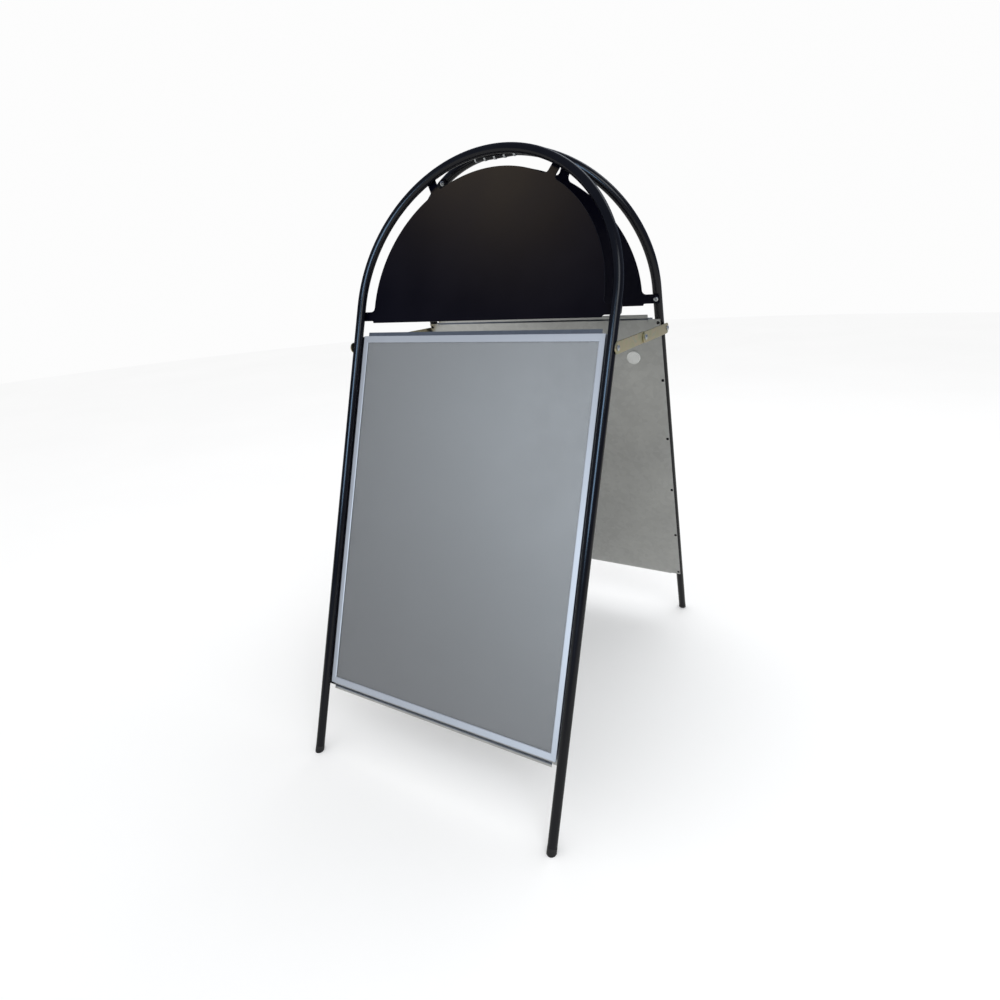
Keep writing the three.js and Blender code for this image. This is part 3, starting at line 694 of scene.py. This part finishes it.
def piece(node, mesh, place, finish, body, in_cad=True):
    """A finished piece that rides on a body and stands for its CAD node."""
    obj = bpy.data.objects.new(f"{node}_finished", mesh)
    bpy.context.scene.collection.objects.link(obj)
    if not mesh.materials:
        mesh.materials.append(MATERIALS[finish])
    obj.matrix_world = place
    normals = obj.modifiers.new("normals", "WEIGHTED_NORMAL")
    normals.keep_sharp = True
    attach(obj, body)
    if in_cad:
        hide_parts(node)
    return obj


# -------- tubes and feet
def tube_frame():
    """An arch with two straight legs, open at its ends, with the bore inside it."""
    leg_end = FOOT_HEIGHT - SLANT_LENGTH
    leg_steps = 6
    arch_steps = 96
    sides = 40
    leg_rows = [leg_end + (-ARCH_RADIUS - leg_end) * i / leg_steps for i in range(leg_steps)]
    places = [(Vector((-ARCH_RADIUS, 0, z)), Vector((-1, 0, 0))) for z in leg_rows]
    for i in range(arch_steps + 1):
        angle = math.pi * (1 - i / arch_steps)
        outward = Vector((math.cos(angle), 0, math.sin(angle)))
        places.append((outward * ARCH_RADIUS - Vector((0, 0, ARCH_RADIUS)), outward))
    places += [(Vector((ARCH_RADIUS, 0, z)), Vector((1, 0, 0))) for z in reversed(leg_rows)]
    vertices, faces = swept(places, [TUBE_RADIUS] * len(places), sides)
    inner_vertices, inner_faces = swept(places, [TUBE_RADIUS - TUBE_WALL] * len(places), sides)
    base = len(vertices)
    last = base - sides
    faces += [tuple(base + i for i in reversed(face)) for face in inner_faces]
    for row in (0, last):
        for i in range(sides):
            j = (i + 1) % sides
            faces.append((row + i, row + j, base + row + j, base + row + i))
    return mesh_of("tube_frame", vertices + inner_vertices, faces)


def foot_mesh():
    """A plug for a tube's end. Its head has rounded edges and is cut off on the slant."""
    head_top = FOOT_HEIGHT - GAP
    stem_radius = TUBE_RADIUS - TUBE_WALL - GAP
    corner = FOOT_RADIUS - FOOT_ROUNDING
    profile = [
        (0, 0),
        *arc((corner, FOOT_ROUNDING), FOOT_ROUNDING, -QUARTER, 0, 5),
        (FOOT_RADIUS, 0.8 * FOOT_SLANT),
        (FOOT_RADIUS, head_top - FOOT_SHOULDER),
        *arc((corner, head_top - FOOT_ROUNDING), FOOT_ROUNDING, 0, QUARTER, 4),
        (stem_radius, head_top),
        (stem_radius, head_top + FOOT_STEM),
        (0, head_top + FOOT_STEM),
    ]
    mesh = turned("foot", profile)
    mesh.transform(Matrix.Rotation(QUARTER, 4, "X"))
    for vertex in mesh.vertices:
        share = min(1.0, max(0.0, 1 - vertex.co.z / FOOT_SLANT))
        vertex.co.z += share * vertex.co.y * math.tan(TILT)
    mesh.transform(Matrix.Translation((0, 0, -SLANT_LENGTH)))
    return mesh


# -------- header plate
def tab_end(lower, upper):
    """The rounded end of a tab that points along +x, from its lower side round to its upper side."""
    corner = ARCH_RADIUS + TAB_OVERLAP - TAB_CORNER
    return [
        *arc((corner, lower + TAB_CORNER), TAB_CORNER, -QUARTER, 0, 4),
        *arc((corner, upper - TAB_CORNER), TAB_CORNER, 0, QUARTER, 4),
    ]


def header_half_outline():
    """The right half of the outline, from the bottom edge round to the top of the arc."""
    centre = Vector((0, -ARCH_RADIUS))
    fillet_x = HEADER_RADIUS + TAB_FILLET
    outline = arc((HEADER_RADIUS + LOWER_FILLET, HEADER_BOTTOM), LOWER_FILLET, math.pi, QUARTER, 5)
    outline += tab_end(LOWER_TAB_TOP - TAB_WIDTH, LOWER_TAB_TOP)
    outline += arc((fillet_x, LOWER_TAB_TOP + TAB_FILLET), TAB_FILLET, -QUARTER, -math.pi, 8)

    half = TAB_WIDTH / 2
    spread = math.asin((half + TAB_FILLET) / fillet_x)
    reach = fillet_x * math.cos(spread)
    tab = [
        *arc((reach, -half - TAB_FILLET), TAB_FILLET, math.pi - spread, QUARTER, 7),
        *tab_end(-half, half),
        *arc((reach, half + TAB_FILLET), TAB_FILLET, -QUARTER, spread - math.pi, 7),
    ]
    turn = Matrix.Rotation(UPPER_TAB_ANGLE, 2)
    outline += arc(centre, HEADER_RADIUS, 0, UPPER_TAB_ANGLE - spread, 40)[1:-1]
    outline += [turn @ p + centre for p in tab]
    outline += arc(centre, HEADER_RADIUS, UPPER_TAB_ANGLE + spread, QUARTER, 24)[1:]
    return outline


def header_screw_places():
    upper = (ARCH_RADIUS * math.cos(UPPER_TAB_ANGLE), ARCH_RADIUS * (math.sin(UPPER_TAB_ANGLE) - 1))
    lower = (ARCH_RADIUS, LOWER_TAB_TOP - TAB_WIDTH / 2)
    return {
        "upper_left": (-upper[0], upper[1]),
        "upper_right": upper,
        "lower_left": (-lower[0], lower[1]),
        "lower_right": lower,
    }


def header_plate():
    right = header_half_outline()
    left = [Vector((-p.x, p.y)) for p in reversed(right[:-1])]
    holes = [circle(place, SHANK_RADIUS + GAP) for place in header_screw_places().values()]
    return plate("header_plate", right + left, holes, PLATE_Y, PLATE_Y + HEADER_THICKNESS, HEADER_ROUNDING)


# -------- back sheet
def joggle(edge, flat, up):
    """(y, z) along the middle of a lip, from its edge to where the sheet is flat."""
    bend = edge - up * flat
    steps = 8
    points = [(SHEET_MIDDLE - LIP_OFFSET, edge), (SHEET_MIDDLE - LIP_OFFSET, bend + up * 0.5 * MM)]
    for i in range(steps + 1):
        t = i / steps
        ease = t * t * (3 - 2 * t)
        points.append((SHEET_MIDDLE - LIP_OFFSET * (1 - ease), bend - up * LIP_BEND * t))
    return points


def back_sheet():
    """The sheet with its two lips. Small relief cuts part the lips from the sheet's side strips."""
    top = joggle(LIP_TOP, TOP_LIP_FLAT, 1)
    bottom = joggle(LIP_BOTTOM, BOTTOM_LIP_FLAT, -1)
    flat_top = SHEET_TOP - RELIEF_DEPTH
    flat_bottom = SHEET_BOTTOM + RELIEF_DEPTH
    flat_steps = 24
    flat_rows = [
        (SHEET_MIDDLE, flat_top + (flat_bottom - flat_top) * i / flat_steps) for i in range(flat_steps + 1)
    ]
    rows = [*top, *flat_rows, *reversed(bottom)]
    inner_columns = [LIP_HALF_WIDTH * (i / 10) for i in range(-10, 11)]
    relief = LIP_HALF_WIDTH + RELIEF_WIDTH
    columns = [-SHEET_HALF_WIDTH, -relief, *inner_columns, relief, SHEET_HALF_WIDTH]

    def place(x, y, z):
        """A point of the grid. The side strips stay flat, and end at the sheet's own edges."""
        if abs(x) >= relief:
            y = SHEET_MIDDLE
            z = min(max(z, SHEET_BOTTOM), SHEET_TOP)
        sway = noise.noise(Vector((x, z, 0)) * SWAY_SCALE) * SHEET_SWAY
        return Vector((x, y + sway, z))

    work = bmesh.new()
    grid = [[work.verts.new(place(x, y, z)) for x in columns] for y, z in rows]
    for (upper, lower), (y_upper, z_upper), (y_lower, z_lower) in zip(zip(grid, grid[1:]), rows, rows[1:]):
        beside_sheet = z_upper > flat_top or z_lower < flat_bottom
        for c, (x0, x1) in enumerate(zip(columns, columns[1:])):
            edge_strip = max(abs(x0), abs(x1)) > relief
            in_relief = not edge_strip and max(abs(x0), abs(x1)) > LIP_HALF_WIDTH
            beyond = z_lower >= SHEET_TOP or z_upper <= SHEET_BOTTOM
            if (in_relief and beside_sheet) or (edge_strip and beyond):
                continue
            work.faces.new((upper[c], upper[c + 1], lower[c + 1], lower[c]))
    loose = [v for v in work.verts if not v.link_faces]
    bmesh.ops.delete(work, geom=loose, context="VERTS")
    mesh = bpy.data.meshes.new("back_sheet")
    work.to_mesh(mesh)
    work.free()
    mesh.shade_smooth()
    return mesh


def add_thickness(obj, thickness):
    solid = obj.modifiers.new("thickness", "SOLIDIFY")
    solid.thickness = thickness
    solid.offset = 0
    solid.use_even_offset = True
    obj.modifiers.move(len(obj.modifiers) - 1, 0)


# -------- border profiles
def face_section(width):
    """(distance from the outer edge, depth behind the front) round a profile's face.

    It has a rounded outer edge, a flat front and a chamfer down to the poster.
    """
    outer = arc((BORDER_ROUNDING, BORDER_ROUNDING), BORDER_ROUNDING, 2 * QUARTER, 3 * QUARTER, 5)
    inner = [
        Vector((width - 1.5 * MM, 0)),
        Vector((width - 1.1 * MM, 0.1 * MM)),
        Vector((width - 0.15 * MM, 0.9 * MM)),
        Vector((width, 1.1 * MM)),
        Vector((width, BORDER_THICKNESS)),
    ]
    return [Vector((0, BORDER_THICKNESS)), *outer, *inner]


def mitred(name, section, start, end):
    """A straight profile. start and end give the (x, z) of a section point from its share of the width."""
    count = len(section)
    width = max(p.x for p in section)
    vertices = []
    for corner in (start, end):
        for p in section:
            x, z = corner(p.x / width)
            vertices.append((x, BORDER_Y + p.y, z))
    faces = [((i - 1) % count, i, count + i, count + (i - 1) % count) for i in range(count)]
    faces += [tuple(range(count)), tuple(range(count, 2 * count))]
    return mesh_of(name, vertices, faces, math.radians(45))


def between(outer, inner):
    """A function that goes from the border's outer corner to its inner corner."""
    return lambda share: (outer[0] + (inner[0] - outer[0]) * share, outer[1] + (inner[1] - outer[1]) * share)


def border_leg(x0, x1, z0, z1):
    return box_mesh("border_leg", (x0, BORDER_Y + BORDER_THICKNESS / 2, z0), (x1, PLATE_Y - GAP, z1))


def border_corner(side, end):
    """The outer and inner end of the mitre line at a corner, each as (x, z)."""
    outer_z, inner_z = (SHEET_TOP, FIELD_TOP) if end > 0 else (BORDER_BOTTOM, FIELD_BOTTOM)
    return (side * BORDER_HALF_WIDTH, outer_z), (side * FIELD_HALF_WIDTH, inner_z)


def border_end(end):
    section = face_section(BORDER_END_WIDTH)
    face = mitred("border", section, between(*border_corner(-1, end)), between(*border_corner(1, end)))
    if end > 0:
        return face
    top = POSTER_BOTTOM - GAP
    half = POSTER_WIDTH / 2 - BORDER_LEG_CLEARANCE
    return boolean(face, [border_leg(-half, half, top - BORDER_LEG, top)], "UNION")


def border_side(side):
    corners = []
    for end in (-1, 1):
        (outer_x, outer_z), (inner_x, inner_z) = border_corner(side, end)
        seam = end * MITRE_GAP
        corners.append(between((outer_x, outer_z - seam), (inner_x, inner_z - seam)))
    face = mitred("border", face_section(BORDER_SIDE_WIDTH), *corners)
    near = POSTER_WIDTH / 2 + BORDER_LEG_CLEARANCE
    x0, x1 = sorted((side * near, side * (near + BORDER_LEG)))
    leg = border_leg(x0, x1, FIELD_BOTTOM + BORDER_LEG_INSET, FIELD_TOP - BORDER_LEG_INSET)
    return boolean(face, [leg], "UNION")


# -------- poster card and cover
def poster_layer(name, y, thickness, extra):
    """A sheet of the poster's size, with extra height at its top."""
    half = POSTER_WIDTH / 2
    top = POSTER_BOTTOM + POSTER_HEIGHT + extra
    outline = rounded_rectangle(-half, half, POSTER_BOTTOM, top, POSTER_CORNER)
    return plate(name, outline, [], y, y + thickness, POSTER_ROUNDING, steps=2)


# -------- screws and rivets
def dome(radius, height, rim, steps, seat=0):
    """Profile of a domed head from its seat, over its rim, to its top."""
    points = [(radius - HEAD_ROUNDING, seat), (radius, seat + HEAD_ROUNDING)]
    for i in range(steps):
        angle = QUARTER * i / steps
        points.append((radius * math.cos(angle), seat + rim + (height - rim) * math.sin(angle)))
    return [*points, (0, seat + height)]


def screw_mesh():
    """A pan-head screw with a cross recess. It sits at the origin with its head towards +y."""
    profile = [(0, -SHANK_LENGTH), (SHANK_RADIUS, -SHANK_LENGTH), (SHANK_RADIUS, 0)]
    profile += dome(SCREW_HEAD_RADIUS, SCREW_HEAD_HEIGHT, rim=0.42 * SCREW_HEAD_HEIGHT, steps=7)
    head = turned("screw", profile, 36)
    cutters = []
    for half_x, half_z in ((RECESS_ARM, RECESS_HALF_WIDTH), (RECESS_HALF_WIDTH, RECESS_ARM)):
        low = (-half_x, SCREW_HEAD_HEIGHT - RECESS_DEPTH, -half_z)
        high = (half_x, SCREW_HEAD_HEIGHT + 1 * MM, half_z)
        cutters.append(box_mesh("recess", low, high))
    return boolean(head, cutters, "DIFFERENCE")


def rivet_mesh():
    """A blind rivet: a low dome with the hole that its mandrel leaves."""
    rim = 0.25 * RIVET_HEAD_HEIGHT
    floor = 0.35 * RIVET_HEAD_HEIGHT
    reach = RIVET_HEAD_RADIUS - MANDREL_HOLE_RADIUS
    profile = [(0, -SHANK_LENGTH), (SHANK_RADIUS, -SHANK_LENGTH), (SHANK_RADIUS, 0), (RIVET_HEAD_RADIUS, 0)]
    for p in arc((0, 0), 1, 0, QUARTER, 6):
        profile.append((MANDREL_HOLE_RADIUS + reach * p.x, rim + (RIVET_HEAD_HEIGHT - rim) * p.y))
    profile += [(MANDREL_HOLE_RADIUS, floor), (0, floor)]
    return turned("rivet", profile, 32)


def corner_rivet_places():
    top = SHEET_TOP - RIVET_INSET
    bottom = SHEET_BOTTOM + RIVET_INSET
    return {
        "upper_left": (-ARCH_RADIUS, top),
        "upper_right": (ARCH_RADIUS, top),
        "lower_left": (-ARCH_RADIUS, bottom),
        "lower_right": (ARCH_RADIUS, bottom),
    }


def inner_rivet_places():
    middle = (SHEET_TOP + BORDER_BOTTOM) / 2
    rows = [middle + (i - (INNER_RIVETS - 1) / 2) * INNER_RIVET_PITCH for i in range(INNER_RIVETS)]
    return [(side * ARCH_RADIUS, z) for side in (-1, 1) for z in rows]


# -------- hinge
def knuckle_centres():
    first = -KNUCKLE_PITCH * (KNUCKLE_COUNT - 1) / 2
    return [first + i * KNUCKLE_PITCH for i in range(KNUCKLE_COUNT)]


HINGE_HALF_LENGTH = knuckle_centres()[-1] + KNUCKLE_LENGTH / 2


def ring_profile(bore, radius, half, rounding):
    """A closed ring for turned(), with rounded outer edges."""
    upper = rounded_step(radius, half, rounding, 1)
    lower = [(r, -a) for r, a in reversed(upper)]
    return [(bore, -half), *lower, *upper, (bore, half), (bore, -half)]


def hinge_leaf():
    """The leaf with two of the four knuckles, each on a neck. The other frame's leaf has the other two."""
    outline = rounded_rectangle(-HINGE_HALF_LENGTH, HINGE_HALF_LENGTH, LEAF_BOTTOM, LEAF_TOP, LEAF_CORNER)
    leaf_back = PLATE_Y + LEAF_THICKNESS
    leaf = plate("hinge_leaf", outline, [], PLATE_Y, leaf_back, LEAF_ROUNDING, steps=2)
    half = KNUCKLE_LENGTH / 2
    neck_half = half - NECK_INSET
    ring = ring_profile(PIN_RADIUS + GAP, KNUCKLE_RADIUS, half, KNUCKLE_ROUNDING)
    parts = []
    for x in knuckle_centres()[::2]:
        barrel = turned("knuckle", ring, 36)
        barrel.transform(Matrix.Translation((x, AXIS_Y, AXIS_Z)) @ Matrix.Rotation(-QUARTER, 4, "Z"))
        parts.append(barrel)
        neck_low = (x - neck_half, leaf_back - NECK_BITE, AXIS_Z - NECK_HALF_HEIGHT)
        neck_high = (x + neck_half, AXIS_Y - NECK_HALF_HEIGHT, AXIS_Z + NECK_HALF_HEIGHT)
        parts.append(box_mesh("neck", neck_low, neck_high))
    return boolean(leaf, parts, "UNION")


def weld_bead(middle):
    """A rippled bead with rounded ends, between the top edge of a leaf and the tube behind it."""
    steps = 30
    sides = 12
    places = []
    radii = []
    for i in range(steps + 1):
        t = i / steps
        x = middle + WELD_HALF_LENGTH * (2 * t - 1)
        sag = ARCH_RADIUS - math.sqrt(ARCH_RADIUS ** 2 - x * x)
        taper = math.sin(math.pi * min(max(t, 0.02), 0.98)) ** 0.25
        places.append((Vector((x, WELD_DEPTH, WELD_HEIGHT - sag / 2)), Vector((0, 0, 1))))
        radii.append(WELD_RADIUS * taper * (1 + WELD_RIPPLE * math.sin(i * 2.4)))
    vertices, faces = swept(places, radii, sides)
    last = len(vertices) - sides
    faces += [tuple(range(sides)), tuple(range(last, last + sides))]
    return mesh_of("weld", vertices, faces, math.radians(60))


def pin_mesh():
    start = HINGE_HALF_LENGTH + GAP
    end = start + PIN_HEAD_LENGTH
    edge = rounded_step(COLLAR_RADIUS, end, PIN_HEAD_ROUNDING, 1)
    head = [(PIN_RADIUS, start), (COLLAR_RADIUS, start), *edge, (0, end)]
    mesh = turned("hinge_pin", [(r, -a) for r, a in reversed(head)] + head, 36)
    mesh.transform(Matrix.Rotation(-QUARTER, 4, "Z"))
    return mesh


def washer_mesh():
    half = (KNUCKLE_PITCH - KNUCKLE_LENGTH) / 2 - GAP
    mesh = turned("washer", ring_profile(PIN_RADIUS + GAP, COLLAR_RADIUS, half, WASHER_ROUNDING), 36)
    mesh.transform(Matrix.Rotation(-QUARTER, 4, "Z"))
    return mesh


# -------- stays
def link_mesh():
    """A strap from the middle rivet at the origin to the pivot on a leg, along +x, thick along +y."""
    half = STAY_WIDTH / 2
    ends = [(STAY_PIVOT.y, 0), (0, 0)]
    outline = [*arc(ends[0], half, -QUARTER, QUARTER, 18), *arc(ends[1], half, QUARTER, 3 * QUARTER, 18)]
    holes = [circle(end, BOLT_HOLE_RADIUS) for end in ends]
    return plate("stay_link", outline, holes, 0, STAY_THICKNESS, STAY_ROUNDING)


def bolt_dome(seat):
    return dome(BOLT_HEAD_RADIUS, BOLT_HEAD_HEIGHT, rim=0.22 * BOLT_HEAD_HEIGHT, steps=9, seat=seat)


def bolt_mesh(link):
    """A domed bolt through a link into the leg, along +y from the side of the tube."""
    seat = link + STAY_THICKNESS + GAP
    spacer_end = link - GAP
    profile = [(0, -BOLT_TIP), (BOLT_RADIUS, -BOLT_TIP)]
    if link > INNER_LINK:
        profile += [(BOLT_RADIUS, GAP), (SPACER_RADIUS, GAP)]
        profile += [(SPACER_RADIUS, spacer_end), (BOLT_RADIUS, spacer_end)]
    profile += [(BOLT_RADIUS, seat), *bolt_dome(seat)]
    return turned("stay_bolt", profile, 36)


def rivet_head_mesh():
    seat = OUTER_LINK + STAY_THICKNESS + GAP
    profile = [(0, OUTER_LINK), (BOLT_RADIUS, OUTER_LINK), (BOLT_RADIUS, seat), *bolt_dome(seat)]
    return turned("rivet_head", profile, 36)


def rivet_tail_mesh():
    seat = INNER_LINK - GAP
    bottom = seat - TAIL_HEIGHT
    end = INNER_LINK + STAY_THICKNESS
    edge = reversed(rounded_step(TAIL_RADIUS, bottom, TAIL_ROUNDING, -1))
    profile = [(0, bottom), *edge, (TAIL_RADIUS, seat), (BOLT_RADIUS, seat), (BOLT_RADIUS, end), (0, end)]
    return turned("rivet_tail", profile, 36)


def facing_out(side, y):
    """Turns +y to point out of the board's side, from the outer face of the leg at a place along y."""
    turn = Matrix.Rotation(-side * QUARTER, 4, "Z")
    return Matrix.Translation((side * STAY_FACE, y, STAY_PIVOT.z)) @ turn


def link_place(side, towards, link):
    """Lays a link along y from the middle rivet, towards the front (-1) or the rear (1)."""
    x = side * (STAY_FACE + link + (STAY_THICKNESS if towards * side > 0 else 0))
    turn = Matrix.Rotation(towards * QUARTER, 4, "Z")
    return Matrix.Translation((x, 0, STAY_PIVOT.z)) @ turn


# -------- pad
def pad_mesh():
    """A felt disc whose face is a little uneven."""
    edge = rounded_step(PAD_RADIUS, PAD_THICKNESS, PAD_ROUNDING, 1)
    rings = [(PAD_RADIUS * i / 9, PAD_THICKNESS) for i in range(8, 0, -1)]
    mesh = turned("pad", [(0, 0), (PAD_RADIUS, 0), *edge, *rings, (0, PAD_THICKNESS)], 64)
    for vertex in mesh.vertices:
        if vertex.co.y > 0:
            vertex.co.y += noise.noise(vertex.co * FUZZ_SCALE) * PAD_FUZZ
    return mesh


# -------- assembly
def build_frame(prefix, meshes):
    place = FRAME_PLACES[prefix]
    body = f"{prefix}_frame"
    poster = f"{prefix}_poster"

    piece(f"{prefix}_tube_frame", meshes["tube"], place, "frame_paint", body)
    for name, side in (("left", -1), ("right", 1)):
        foot_place = place @ Matrix.Translation((side * ARCH_RADIUS, 0, 0))
        border = meshes[f"border_{name}"]
        piece(f"{prefix}_foot_{name}", meshes["foot"], foot_place, "foot_plastic", body)
        piece(f"{prefix}_border_{name}", border, place, "border_along_z", body)
    piece(f"{prefix}_header_plate", meshes["header"], place, "header_paint", body)
    sheet = piece(f"{prefix}_back_sheet", meshes["sheet"], place, "sheet_steel", body)
    add_thickness(sheet, SHEET_THICKNESS)
    for name in ("top", "bottom"):
        border = meshes[f"border_{name}"]
        piece(f"{prefix}_border_{name}", border, place, "border_along_x", body)
    piece(f"{prefix}_poster_card", meshes["card"], place, "poster_card", poster)
    piece(f"{prefix}_clear_cover", meshes["cover"], place, "clear_cover", poster)
    piece(f"{prefix}_hinge_leaf", meshes["leaf"], place, "frame_paint", body)
    for i, bead in enumerate(meshes["welds"], 1):
        piece(f"{prefix}_hinge_weld_{i}", bead, place, "frame_paint", body, in_cad=False)

    screw_seat = PLATE_Y + HEADER_THICKNESS
    for name, (x, z) in header_screw_places().items():
        # Each screw has stopped at an angle of its own.
        turn = Matrix.Rotation(x * SCREW_TURN_X + z * SCREW_TURN_Z, 4, "Y")
        screw_place = place @ Matrix.Translation((x, screw_seat, z)) @ turn
        piece(f"{prefix}_header_screw_{name}", meshes["screw"], screw_place, "bright_zinc", body)
    rivet_seat = PLATE_Y + SHEET_THICKNESS
    for name, (x, z) in corner_rivet_places().items():
        rivet_place = place @ Matrix.Translation((x, rivet_seat, z))
        piece(f"{prefix}_sheet_rivet_{name}", meshes["rivet"], rivet_place, "frame_paint", body)
    for i, (x, z) in enumerate(inner_rivet_places(), 1):
        rivet_place = place @ Matrix.Translation((x, rivet_seat, z))
        piece(f"{prefix}_inner_rivet_{i}", meshes["rivet"], rivet_place, "frame_paint", body, in_cad=False)


def build_stay(name, side, meshes):
    pivot = STAY_PIVOT.y
    front = f"{name}_front_link"
    rear = f"{name}_rear_link"
    piece(f"stay_{front}", meshes["link"], link_place(side, -1, INNER_LINK), "yellow_zinc", front)
    piece(f"stay_{rear}", meshes["link"], link_place(side, 1, OUTER_LINK), "yellow_zinc", rear)
    hardware = [
        ("front_bolt", "inner_bolt", -pivot, "front_frame"),
        ("rear_bolt", "outer_bolt", pivot, "rear_frame"),
        ("rivet_head", "rivet_head", 0, rear),
        ("rivet_tail", "rivet_tail", 0, front),
    ]
    for title, mesh, y, body in hardware:
        piece(f"stay_{name}_{title}", meshes[mesh], facing_out(side, y), "bright_zinc", body)


def build_board():
    meshes = {
        "tube": tube_frame(),
        "foot": foot_mesh(),
        "header": header_plate(),
        "sheet": back_sheet(),
        "border_top": border_end(1),
        "border_bottom": border_end(-1),
        "border_left": border_side(-1),
        "border_right": border_side(1),
        "card": poster_layer("poster_card", CARD_Y, CARD_THICKNESS, 0),
        "cover": poster_layer("clear_cover", COVER_Y, COVER_THICKNESS, COVER_EXTRA),
        "leaf": hinge_leaf(),
        "welds": [weld_bead(i * WELD_PITCH) for i in (-1, 0, 1)],
        "screw": screw_mesh(),
        "rivet": rivet_mesh(),
        "link": link_mesh(),
        "inner_bolt": bolt_mesh(INNER_LINK),
        "outer_bolt": bolt_mesh(OUTER_LINK),
        "rivet_head": rivet_head_mesh(),
        "rivet_tail": rivet_tail_mesh(),
    }
    for prefix in ("front", "rear"):
        build_frame(prefix, meshes)
    build_stay("left", -1, meshes)
    build_stay("right", 1, meshes)

    hinge = Matrix.Translation((0, 0, HINGE_HEIGHT))
    piece("hinge_pin", pin_mesh(), hinge, "bright_zinc", "front_frame")
    washer = washer_mesh()
    for i, x in enumerate(knuckle_centres()[:-1], 1):
        washer_place = hinge @ Matrix.Translation((x + KNUCKLE_PITCH / 2, 0, 0))
        piece(f"hinge_washer_{i}", washer, washer_place, "bright_zinc", "front_frame")

    low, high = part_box("rear_pad")
    centre = FRAME_PLACES["rear"].inverted() @ ((low + high) / 2)
    pad_seat = PLATE_Y + SHEET_THICKNESS + GAP
    pad_place = FRAME_PLACES["rear"] @ Matrix.Translation((centre.x, pad_seat, centre.z))
    pad = piece("rear_pad", pad_mesh(), pad_place, "pad_felt", "rear_frame")


def make_floor():
    outline = arc((0, 0), FLOOR_RADIUS, 0, 2 * math.pi, 96)[:-1]
    mesh = bpy.data.meshes.new("floor")
    mesh.from_pydata([(p.x, p.y, 0) for p in outline], [], [tuple(range(len(outline)))])
    mesh.materials.append(floor_paint())
    floor = bpy.data.objects.new("floor", mesh)
    bpy.context.scene.collection.objects.link(floor)


make_camera()
make_world()
make_floor()
build_board()
make_lights()
bpy.context.scene.view_settings.view_transform = "Standard"
